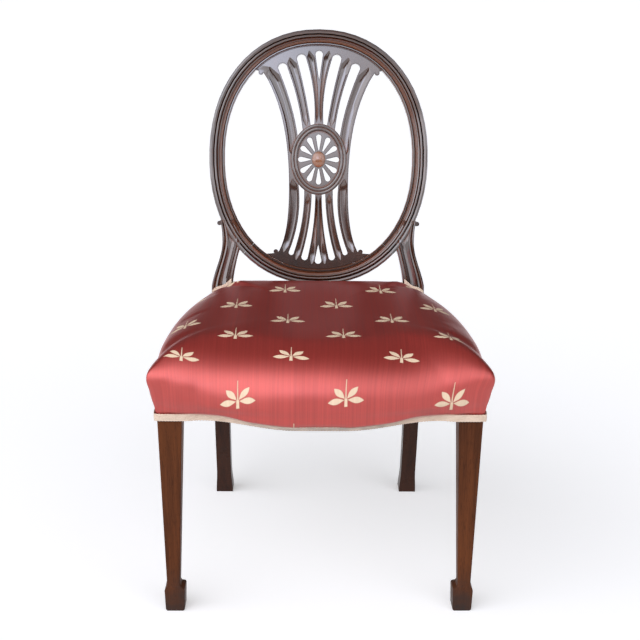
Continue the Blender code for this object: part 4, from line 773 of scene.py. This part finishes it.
def braid_material():
    """Cream gimp: fine cord twist along the braid, a little soiled in its hollows, with painted shade along
    the middle of the front under the cover's lip.
    """
    material, tree, shader = new_material("Cream braid")
    place = add(tree, "ShaderNodeUVMap", uv_map="cloth").outputs[0]
    parts = split(tree, place)
    twist = plus(tree, times(tree, parts[0], 2400.0), times(tree, parts[1], 3400.0))
    twist = ranged(tree, maths(tree, "SINE", twist), -1.0, 1.0, 0.0, 1.0)
    soil = noise(tree, stretched(tree, place, (60.0, 160.0, 1.0)), 1.0, 4.0, 0.6)
    paint = blended(tree, twist, colour(0.64, 0.49, 0.36), colour(0.82, 0.66, 0.52))
    paint = blended(tree, ranged(tree, soil, 0.45, 0.75, 0.0, 0.5), paint, colour(0.50, 0.36, 0.24))
    # Painted shade under the cover's lip along the middle of the front, mottled by the soil noise: the braid
    # there is painted a darker grey.
    spot = split(tree, add(tree, "ShaderNodeTexCoord").outputs["Object"])
    lip_shade_and_soil = ranged(tree, size_of(tree, spot[0]), 0.07, 0.17, 1.0, 0.0, True)
    lip_shade_and_soil = times(tree, lip_shade_and_soil, ranged(tree, spot[1], -0.2, -0.25, 0.0, 1.0))
    lip_shade_and_soil = times(tree, lip_shade_and_soil, ranged(tree, soil, 0.25, 0.6, 0.35, 0.85))
    paint = blended(tree, lip_shade_and_soil, paint, colour(0.30, 0.25, 0.21))
    tree.links.new(paint, shader.inputs["Base Color"])
    tree.links.new(ranged(tree, twist, 0.0, 1.0, 0.62, 0.5), shader.inputs["Roughness"])
    tree.links.new(bumped(tree, twist, 0.4, 0.0004), shader.inputs["Normal"])
    set_values(shader, {"Sheen Weight": 0.3, "Sheen Roughness": 0.4})
    return material


def stuffing_material():
    """Felted wadding with loose hair."""
    material, tree, shader = new_material("Wadding")
    place = add(tree, "ShaderNodeTexCoord").outputs["Object"]
    hair = noise(tree, stretched(tree, place, (380.0, 90.0, 240.0)), 1.0, 4.0, 0.7)
    felt = noise(tree, place, 45.0, 4.0, 0.6)
    felted = ranged(tree, felt, 0.3, 0.7, 0.0, 1.0)
    paint = blended(tree, felted, colour(0.5, 0.42, 0.3), colour(0.68, 0.6, 0.47))
    paint = blended(tree, ranged(tree, hair, 0.6, 0.75, 0.0, 0.6), paint, colour(0.22, 0.15, 0.09))
    tree.links.new(paint, shader.inputs["Base Color"])
    tree.links.new(ranged(tree, felt, 0.3, 0.7, 0.85, 0.97), shader.inputs["Roughness"])
    tree.links.new(bumped(tree, hair, 0.5, 0.002), shader.inputs["Normal"])
    set_values(shader, {"Sheen Weight": 0.3})
    return material


def steel_material(name, pale, deep, rough):
    """Dull steel with darker spots of age."""
    material, tree, shader = new_material(name)
    place = add(tree, "ShaderNodeTexCoord").outputs["Object"]
    spots = noise(tree, place, 700.0, 4.0, 0.65)
    brushed = noise(tree, stretched(tree, place, (2600.0, 300.0, 900.0)), 1.0, 2.0)
    paint = blended(tree, ranged(tree, spots, 0.42, 0.66, 0.0, 1.0), pale, deep)
    tree.links.new(paint, shader.inputs["Base Color"])
    tree.links.new(ranged(tree, brushed, 0.3, 0.7, rough - 0.08, rough + 0.12), shader.inputs["Roughness"])
    tree.links.new(ranged(tree, spots, 0.5, 0.72, 1.0, 0.6), shader.inputs["Metallic"])
    return material


# Seat cover


COVER_STEPS = 100
COVER_EASE = 0.001


def pleats(place, u, v):
    """How far the cover is drawn in by the folds at a front corner."""
    share = max(abs(u), abs(v))
    if v > 0.0 or share < 0.72:
        return 0.0
    drop = eased((share - 0.72) / 0.12) * eased((place.z - 0.366) / 0.014)
    depth = 0.0
    for where, line, deep, wide in FOLDS:
        if (where == "front" and abs(u) > abs(v)) or (where == "side" and abs(v) > abs(u)):
            continue
        away = min(abs(u), abs(v)) / share - line
        depth += deep * math.exp(-((away * FOLD_REACH / wide) ** 2))
    return depth * drop


def corner_ear(place, u, v):
    """The cloth stands out a little where it is folded at a front corner."""
    if v > 0.0:
        return Vector((0.0, 0.0, 0.0))
    near = (abs(u) - abs(v)) / 0.07
    level = (place.z - 0.437) / (0.012 if place.z > 0.437 else 0.024)
    out = 0.0075 * math.exp(-near * near - level * level)
    return Vector((math.copysign(out, u), -0.35 * out, 0.0))


def front_lip(place, u, v):
    """The cloth sags over the braid along the middle of the front."""
    if v > -abs(u):
        return Vector((0.0, 0.0, 0.0))
    level = (place.z - 0.3665) / 0.007
    out = 0.0075 * eased((0.165 - abs(place.x)) / 0.07) * math.exp(-level * level)
    return Vector((0.0, -out, -0.5 * out))


def slit_at_posts(work, flat):
    """Cuts the back of the cover beside each post, between the apron and the cloth in front of the post."""
    rows = {}
    for vertex, (u, v) in zip(work.verts, flat):
        if v >= abs(u) - 1e-6 and profile_at(v)[2] < 0.97:
            rows.setdefault(round(v, 5), []).append(vertex)
    apron, other = set(), set()
    for row in rows.values():
        for side in (-1.0, 1.0):
            half = [vertex for vertex in row if vertex.co.x * side > 0]
            half.sort(key=lambda vertex: abs(vertex.co.x))
            inner = [vertex for vertex in half if vertex.co.y + MIDDLE > PAD_BACK + 0.001]
            outer = [vertex for vertex in half if vertex.co.y + MIDDLE <= PAD_BACK + 0.001]
            if inner and outer:
                inner[-1].co.x = side * (POST_INNER - 0.0015)
            apron.update(inner)
            other.update(outer)
    cut = [face for face in work.faces if apron & set(face.verts) and other & set(face.verts)]
    bmesh.ops.delete(work, geom=cut, context="FACES_ONLY")


def clear_of_corner(share):
    """How near to a corner the cloth is still measured, at a share of the way out."""
    return share * mixed(1.0, 0.7, eased((share - 0.55) / 0.15))


def cloth_place(u, v, spot, front, across, along):
    """A point of the cover in the cloth's own measure, read clear of the folds at the corners."""
    if front:
        limit = clear_of_corner(abs(v))
        u = max(min(u, limit), -limit)
    else:
        v = max(v, -clear_of_corner(abs(u)))
    key = round((u + 1.0) * COVER_STEPS / 2), round((v + 1.0) * COVER_STEPS / 2)
    if not front:
        return across[key], stretched_row(spot.x, spot.y + MIDDLE)
    aside = 0.035 * (spot.x + 0.13) * eased(-along[key] / 0.08)
    return spot.x + aside, stretched_row(spot.x, along[key])


def make_cover():
    work = grid(COVER_STEPS, COVER_STEPS)
    flat = [(vertex.co.x, vertex.co.y) for vertex in work.verts]
    layer = work.loops.layers.uv.new("cloth")
    middles = [face.calc_center_median() for face in work.faces]
    for vertex, (u, v) in zip(work.verts, flat):
        vertex.co = seat_point(u, v, COVER_EASE)
    across, along = cloth_measure(work, flat, COVER_STEPS)
    for face, middle in zip(work.faces, middles):
        front = abs(middle.y) >= abs(middle.x)
        for loop in face.loops:
            u, v = flat[loop.vert.index]
            loop[layer].uv = cloth_place(u, v, loop.vert.co, front, across, along)
    slit_at_posts(work, flat)
    piece = new_piece("seat_cover_cloth", work, satin_material(), ["seat_cover"])
    held = []
    for vertex, (u, v) in zip(piece.data.vertices, flat):
        share = max(abs(u), abs(v), 1e-6)
        low = profile_at(share)[2]
        behind = v / share >= 0.999999
        at_post = v > 0.97 * share and abs(vertex.co.x) > 0.16
        if low < 0.12 or (behind and low < 0.999) or (at_post and low < 0.9999):
            held.append(vertex.index)
    swell(piece, held, 0.003)
    normals = [vertex.normal.copy() for vertex in piece.data.vertices]
    for vertex, normal, (u, v) in zip(piece.data.vertices, normals, flat):
        vertex.co -= normal * pleats(vertex.co, u, v)
        vertex.co += corner_ear(vertex.co, u, v) + front_lip(vertex.co, u, v)
        depth = vertex.co.y + MIDDLE
        if abs(vertex.co.x) > POST_INNER - 0.001 and depth > post_front(vertex.co.z) - 0.0005:
            vertex.co.y = post_front(vertex.co.z) - 0.0005 - MIDDLE
    round_off(piece)
    thicken(piece, CLOTH_THICKNESS)
    return piece


# Stuffing


def make_stuffing(cover):
    """The wadding under the cover: the cover's own form a little smaller, closed flat underneath."""
    work = bmesh.new()
    work.from_mesh(cover.data)
    work.normal_update()
    for vertex, normal in [(vertex, vertex.normal.copy()) for vertex in work.verts]:
        vertex.co -= normal * 0.0045
    bmesh.ops.bisect_plane(
        work, geom=whole(work), plane_co=(0, 0, PAD_BOTTOM), plane_no=(0, 0, 1), clear_inner=True
    )
    rim = [edge for edge in work.edges if edge.is_boundary]
    bmesh.ops.holes_fill(work, edges=rim, sides=0)
    bmesh.ops.triangulate(work, faces=[face for face in work.faces if len(face.verts) > 4])
    bmesh.ops.recalc_face_normals(work, faces=work.faces)
    piece = new_piece("seat_stuffing_pad", work, stuffing_material(), ["seat_stuffing"])


# Braid, webbing and base cloth


def walk(points, wanted):
    """The place and the way out at a length along a path of (place, out) pairs."""
    for (first, out_first), (second, out_second) in zip(points, points[1:]):
        step = (second - first).length
        if wanted <= step:
            share = wanted / max(step, 1e-9)
            return first.lerp(second, share), out_first.lerp(out_second, share).normalized()
        wanted -= step
    return points[-1][0].copy(), points[-1][1].copy()


def path_length(points):
    return sum((second[0] - first[0]).length for first, second in zip(points, points[1:]))


def make_braid(name, node, points, up, width=BRAID_WIDTH):
    """A gimp braid: two cords that cross and cross back, between two edge cords, along a path."""
    length = path_length(points)
    steps = max(int(length / 0.0013), 8)
    work = grid(steps, 12)
    layer = work.loops.layers.uv.new("cloth")
    repeat = length / max(round(length / 0.0095), 1)
    places = [walk(points, length * index / steps) for index in range(steps + 1)]
    flat = {}
    for vertex in work.verts:
        flat[vertex.index] = (0.5 * length * (vertex.co.x + 1.0), vertex.co.y)
    for face in work.faces:
        for loop in face.loops:
            along, across = flat[loop.vert.index]
            loop[layer].uv = (along, across * width / 2)
    for vertex in work.verts:
        along, across = flat[vertex.index]
        place, out = places[min(round(along / length * steps), steps)]
        turn = 2 * math.pi * along / repeat
        swing = 0.42 * math.sin(turn)
        cords = 0.0
        for side, over in ((1.0, math.cos(turn)), (-1.0, -math.cos(turn))):
            near = (across - side * swing) / 0.2
            cords = max(cords, (0.8 + 0.3 * over) * math.exp(-near * near))
        for edge in (0.86, -0.86):
            near = (across - edge) / 0.16
            cords = max(cords, 0.75 * math.exp(-near * near))
        wide = 1.0 + 0.05 * math.sin(2 * turn) * abs(across)
        height = 0.0004 + 0.0013 * cords
        vertex.co = place + up * (across * wide * width / 2) + out * height
    piece = new_piece(name, work, BRAID, [node])
    thicken(piece, 0.0007)


def make_strip(name, nodes, points, width, thickness, material):
    """A flat woven strip along a path, as wide as given, lying level."""
    length = path_length(points)
    steps = max(int(length / 0.008), 8)
    work = grid(steps, 8)
    layer = work.loops.layers.uv.new("cloth")
    flat = {}
    for vertex in work.verts:
        flat[vertex.index] = (0.5 * length * (vertex.co.x + 1.0), vertex.co.y * width / 2)
    for face in work.faces:
        for loop in face.loops:
            along, across = flat[loop.vert.index]
            loop[layer].uv = (across, along)
    for vertex in work.verts:
        along, across = flat[vertex.index]
        place, _ = walk(points, along)
        ahead, _ = walk(points, along + 0.004)
        behind, _ = walk(points, max(along - 0.004, 0.0))
        run = ahead - behind
        side = Vector((-run.y, run.x, 0.0)).normalized()
        vertex.co = place + side * across
    bmesh.ops.recalc_face_normals(work, faces=work.faces)
    piece = new_piece(name, work, material, nodes)
    thicken(piece, thickness, 0.0)


dress_woods()
BRAID = braid_material()
cover = make_cover()
make_stuffing(cover)


def front_braid_path():
    """Round the sides and the front, from one rear post to the other, just outside the cover's lower edge."""
    points = []
    height = RAIL_BOTTOM + BRAID_WIDTH / 2 - 0.0002
    edges = [(-1.0, 1.0 - 2.0 * step / 60) for step in range(61)]
    edges += [(-1.0 + 2.0 * step / 120, -1.0) for step in range(1, 120)]
    edges += [(1.0, -1.0 + 2.0 * step / 60) for step in range(61)]
    for across, along in edges:
        rim, way, _, _ = rim_point(across, along)
        if rim.y > 0.4015:
            continue
        place = rim + way * (COVER_STAND + 0.0026)
        points.append((Vector((place.x, place.y - MIDDLE, height)), Vector((way.x, way.y, 0.0))))
    return points


UP = Vector((0.0, 0.0, 1.0))
BACKWARD = Vector((0.0, 1.0, 0.0))
make_braid("braid_front", "gimp_front", front_braid_path(), UP)

rear_points = []
for step in range(41):
    x = mixed(-POST_INNER + 0.0022, POST_INNER - 0.0022, step / 40)
    place = Vector((-x, PAD_BACK + PAD_REAR_BULGE + 0.0012 - MIDDLE, PAD_REAR_WIDEST))
    rear_points.append((place, BACKWARD))
make_braid("braid_rear", "gimp_rear", rear_points, UP)

# The short braids lie on the cover in front of each post
cover_tree = BVHTree.FromObject(cover, bpy.context.evaluated_depsgraph_get())
lean_out = Vector((0.0, -1.0, 0.2)).normalized()
lean_up = Vector((0.0, 0.2, 0.98))
for side, word in ((-1.0, "left"), (1.0, "right")):
    post_points = []
    for step in range(21):
        x = side * mixed(POST_INNER + 0.001, POST_OUTER - 0.001, step / 20)
        above = Vector((x, PAD_BACK - 0.006 - MIDDLE, 0.6))
        z = cover_tree.ray_cast(above, -UP)[0].z + 0.0012
        post_points.append((Vector((x, post_front(z) - 0.0006 - MIDDLE, z)), lean_out))
    if side < 0:
        post_points.reverse()
    make_braid(f"braid_post_{word}", f"gimp_post_{word}", post_points, lean_up, POST_BRAID_WIDTH)

JUTE = woven_material(
    "Jute webbing", 0.0032, 0.0021, colour(0.50, 0.40, 0.25), colour(0.33, 0.25, 0.145),
    (0.019, 0.0016, colour(0.20, 0.07, 0.04)),
)
HESSIAN = woven_material("Hessian", 0.0017, 0.0019, colour(0.55, 0.42, 0.26), colour(0.38, 0.27, 0.155))


def web_paths():
    """Each strip's node with its path: strips cross over and under each other."""
    found = []
    for number, x in enumerate(WEB_LONG_PLACES):
        low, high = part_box(f"webbing_long_{number + 1}")
        points = []
        for step in range(61):
            y = mixed(low.y, high.y, step / 60)
            lift = 0.0
            for count, cross in enumerate(WEB_CROSS_PLACES):
                if (count + number) % 2 == 0:
                    lift = max(lift, eased(1.0 - abs(y + MIDDLE - cross) / 0.06))
            points.append((Vector((x, y, WEB_LEVEL + WEB_LIFT * lift)), UP))
        found.append((f"webbing_long_{number + 1}", points))
    for number, depth in enumerate(WEB_CROSS_PLACES):
        low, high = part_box(f"webbing_cross_{number + 1}")
        points = []
        for step in range(61):
            x = mixed(low.x, high.x, step / 60)
            lift = 0.0
            for count, place in enumerate(WEB_LONG_PLACES):
                if (count + number) % 2 == 1:
                    lift = max(lift, eased(1.0 - abs(x - place) / 0.044))
            points.append((Vector((x, depth - MIDDLE, WEB_LEVEL + WEB_LIFT * lift)), UP))
        found.append((f"webbing_cross_{number + 1}", points))
    return found


for node, points in web_paths():
    name = node.replace("webbing", "web_strip")
    make_strip(name, [node], points, WEB_WIDTH, WEB_THICKNESS, JUTE)


def make_base_cloth():
    low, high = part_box("seat_base_cloth")
    work = grid(60, 60)
    flat = [(vertex.co.x, vertex.co.y) for vertex in work.verts]
    layer = work.loops.layers.uv.new("cloth")
    for vertex, (u, v) in zip(work.verts, flat):
        share = max(abs(u), abs(v), 1e-6)
        rim, way, _, _ = rim_point(u / share, v / share)
        inset = 0.012 if v / share < 0.999 else 0.002
        place = Vector((0.0, PAD_CENTRE)).lerp(rim - way * inset, share)
        y = place.y - MIDDLE
        if abs(place.x) > POST_INNER - 0.012:
            y = min(y, SEAT_DEPTH - 0.003 - MIDDLE)
        vertex.co = Vector((place.x, min(max(y, low.y), high.y), 0.5 * (low.z + high.z)))
    for face in work.faces:
        for loop in face.loops:
            loop[layer].uv = loop.vert.co.xy
    piece = new_piece("seat_base_hessian", work, HESSIAN, ["seat_base_cloth"])
    thicken(piece, 0.0009, 0.0)


make_base_cloth()

# Screws and tacks

STEEL = steel_material("Old screw steel", colour(0.32, 0.29, 0.26), colour(0.12, 0.08, 0.05), 0.42)
TACK_STEEL = steel_material("Blued tack steel", colour(0.1, 0.1, 0.11), colour(0.06, 0.04, 0.03), 0.38)


def turned(profile, steps):
    """A closed turned form about Z from (radius, height) pairs that start and end on the axis."""
    work = bmesh.new()
    verts = [work.verts.new((radius, 0.0, height)) for radius, height in profile]
    edges = [work.edges.new(pair) for pair in zip(verts, verts[1:])]
    bmesh.ops.spin(
        work, geom=verts + edges, cent=(0, 0, 0), axis=(0, 0, 1),
        angle=2 * math.pi, steps=steps, use_merge=True,
    )
    bmesh.ops.remove_doubles(work, verts=work.verts, dist=0.000005)
    bmesh.ops.recalc_face_normals(work, faces=work.faces)
    return work


def facing(way):
    return way.to_track_quat("Z", "Y").to_matrix().to_4x4()


# Radius and height along the turned forms
SCREW_PROFILE = (
    (0, -0.0022), (0.0016, -0.0022), (0.0018, 0.0), (0.0042, 0.0), (0.0044, 0.0004),
    (0.0036, 0.0012), (0.0022, 0.0017), (0.0008, 0.0019), (0, 0.0019),
)
TACK_PROFILE = (
    (0, -0.0012), (0.0007, -0.0012), (0.0008, 0.0), (0.0026, 0.0002), (0.0028, 0.0006),
    (0.002, 0.0012), (0.001, 0.0015), (0, 0.0016),
)
SLOT_HALF_WIDTH = 0.00045


def make_screw(name, place, way, slot_turn):
    """A slotted screw whose low domed head stands on the block."""
    work = turned(SCREW_PROFILE, 28)
    for offset in (SLOT_HALF_WIDTH, -SLOT_HALF_WIDTH):
        bmesh.ops.bisect_plane(work, geom=whole(work), plane_co=(0, offset, 0), plane_no=(0, 1, 0))
    for vertex in work.verts:
        if abs(vertex.co.y) < 0.0004 and vertex.co.z > 0.0008:
            vertex.co.z = 0.0008
    groove = []
    for face in work.faces:
        middle = face.calc_center_median()
        if abs(middle.y) < 0.00044 and middle.z > 0.0005:
            groove.append(face)
    for item in bmesh.ops.extrude_face_region(work, geom=groove)["geom"]:
        if isinstance(item, bmesh.types.BMVert):
            item.co.z = 0.0006
    bmesh.ops.delete(work, geom=[face for face in groove if face.is_valid], context="FACES_ONLY")
    bmesh.ops.recalc_face_normals(work, faces=work.faces)
    work.transform(Matrix.Translation(place) @ facing(way) @ Matrix.Rotation(slot_turn, 4, "Z"))
    new_piece(name, work, STEEL, smooth=False)


def block_face(name):
    """The slanted inner face of a corner block."""
    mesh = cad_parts[name].data
    low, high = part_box(name)
    middle = (low + high) / 2
    slanted = []
    for face in mesh.polygons:
        normal = face.normal
        upright = abs(normal.z) <= 0.3 and min(abs(normal.x), abs(normal.y)) >= 0.35
        if upright and normal.x * middle.x <= 0:
            slanted.append(face)
    return max(slanted, key=lambda face: face.area)


screw_count = 0
for block in ("front_left", "front_right", "rear_left", "rear_right"):
    node = f"corner_block_{block}"
    face = block_face(node)
    low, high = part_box(node)
    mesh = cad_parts[node].data
    way = face.normal.copy()
    way.z = 0.0
    way.normalize()
    run = Vector((-way.y, way.x, 0.0))
    level = face.center.dot(way)
    ends = []
    for item in mesh.polygons:
        if item.normal.dot(way) > 0.99:
            ends.extend(mesh.vertices[index].co.dot(run) for index in item.vertices)
    for share in (0.27, 0.73):
        screw_count += 1
        place = way * level + run * mixed(min(ends), max(ends), share)
        place.z = mixed(low.z, high.z, 0.5 + 0.12 * (-1) ** screw_count)
        make_screw(f"block_screw_{screw_count}", place, way, 0.5 + 0.9 * screw_count)


def make_tack(name, place, way, lean):
    work = turned(TACK_PROFILE, 16)
    work.transform(Matrix.Translation(place) @ facing((way + lean).normalized()))
    new_piece(name, work, TACK_STEEL)


for number in range(11):
    x = mixed(-0.15, 0.15, number / 10)
    place = Vector((x, PAD_BACK + APRON_OUT + 0.0002 - MIDDLE, COVER_REAR_BOTTOM + 0.0055))
    lean = Vector((0.05 * math.sin(number * 2.3), 0.0, 0.05 * math.cos(number * 1.7)))
    make_tack(f"apron_tack_{number + 1}", place, BACKWARD, lean)

# Floor, light and camera

# Where the photo's camera stood, its yaw, pitch and roll in degrees, and its focal length in pixels
CAMERA_PLACE = (-0.0308, -1.9395, 1.0482)
CAMERA_TURNS = (0.955, 17.127, 0.512)
FOCAL_PIXELS = 1119.82
FRAME_PIXELS = 640.0


def make_floor():
    work = bmesh.new()
    bmesh.ops.create_grid(work, x_segments=2, y_segments=2, size=60.0)
    mesh = bpy.data.meshes.new("floor")
    work.to_mesh(mesh)
    work.free()
    floor = bpy.data.objects.new("floor", mesh)
    scene.collection.objects.link(floor)
    material, tree, shader = new_material("Pale floor")
    pale = colour(0.86, 0.86, 0.86)
    set_values(shader, {"Base Color": pale, "Roughness": 0.95, "Specular IOR Level": 0.1})
    path = add(tree, "ShaderNodeLightPath")
    seen = maths(tree, "MAXIMUM", path.outputs["Is Camera Ray"], path.outputs["Is Glossy Ray"])
    seen = maths(tree, "MAXIMUM", seen, path.outputs["Is Transmission Ray"])
    shader.inputs["Emission Color"].default_value = colour(1.0, 1.0, 1.0)
    tree.links.new(times(tree, seen, 0.38), shader.inputs["Emission Strength"])
    mesh.materials.append(material)


def make_sky():
    """A soft sky, bright in a broad band before the chair and at its sides, dim low down and behind.

    The camera sees it white, and reflections see its horizon white.
    """
    world = bpy.data.worlds.new("Soft sky")
    scene.world = world
    world.use_nodes = True
    tree = world.node_tree
    place = add(tree, "ShaderNodeTexCoord").outputs["Generated"]
    parts = split(tree, place)
    sides = ranged(tree, size_of(tree, parts[0]), 0.2, 0.6, 0.0, 0.18, True)
    band = ranged(tree, plus(tree, parts[2], sides), 0.15, 0.27, 0.0, 1.0, True)
    band = times(tree, band, ranged(tree, parts[2], 0.6, 0.95, 1.0, 0.15, True))
    ahead = vectors(tree, "DOT_PRODUCT", {0: place, 1: (-0.26, -0.966, 0.0)}, "Value")
    band = times(tree, band, ranged(tree, ahead, -0.1, 0.5, 0.0, 1.0, True))
    band = times(tree, band, ranged(tree, parts[0], -0.13, 0.1, 1.15, 0.66, True))
    high = ranged(tree, parts[2], 0.35, 0.7, 0.0, 1.0, True)
    dim = blended(tree, high, colour(0.06, 0.06, 0.06), colour(0.14, 0.14, 0.14))
    uneven = noise(tree, stretched(tree, place, (5.0, 5.0, 9.0)), 1.0, 2.0)
    room = ranged(tree, uneven, 0.35, 0.65, 0.55, 1.3)
    low = ranged(tree, parts[2], 0.4, 0.55, 1.0, 0.0, True)
    band = times(tree, band, blended_value(tree, low, 1.0, room))
    tone = blended(tree, band, dim, colour(2.72, 2.75, 2.94))
    pane = ranged(tree, parts[2], 0.24, 0.30, 0.0, 1.0, True)
    pane = times(tree, pane, ranged(tree, parts[2], 0.5, 0.42, 0.0, 1.0, True))
    off = size_of(tree, plus(tree, parts[0], 0.11))
    pane = times(tree, pane, ranged(tree, off, 0.19, 0.06, 0.0, 1.0, True))
    pane = times(tree, pane, ranged(tree, parts[1], -0.6, -0.8, 0.0, 1.0, True))
    tone = blended(tree, pane, tone, colour(3.9, 4.1, 4.9))
    path = add(tree, "ShaderNodeLightPath")
    seen = maths(tree, "MAXIMUM", path.outputs["Is Camera Ray"], path.outputs["Is Transmission Ray"])
    horizon = ranged(tree, parts[2], 0.02, 0.05, 1.0, 0.0, True)
    seen = maths(tree, "MAXIMUM", seen, times(tree, path.outputs["Is Glossy Ray"], horizon))
    background = tree.nodes["Background"]
    tree.links.new(blended(tree, seen, tone, colour(1.0, 1.0, 1.0)), background.inputs["Color"])
    background.inputs["Strength"].default_value = 1.0


def make_camera():
    camera = bpy.data.objects.new("camera", bpy.data.cameras.new("camera"))
    scene.collection.objects.link(camera)
    camera.data.sensor_width = 36.0
    camera.data.lens = 36.0 * FOCAL_PIXELS / FRAME_PIXELS
    camera.data.clip_end = 300.0
    yaw, pitch, roll = [math.radians(turn) for turn in CAMERA_TURNS]
    forward = Vector((math.sin(yaw) * math.cos(pitch), math.cos(yaw) * math.cos(pitch), -math.sin(pitch)))
    right = Vector((math.cos(yaw), -math.sin(yaw), 0.0))
    up = right.cross(forward)
    turned_right = right * math.cos(roll) + up * math.sin(roll)
    turned_up = up * math.cos(roll) - right * math.sin(roll)
    turn = Matrix((turned_right, turned_up, -forward)).transposed().to_4x4()
    camera.matrix_world = Matrix.Translation(CAMERA_PLACE) @ turn
    scene.camera = camera


make_floor()
make_sky()
make_camera()
scene.view_settings.view_transform = "Standard"
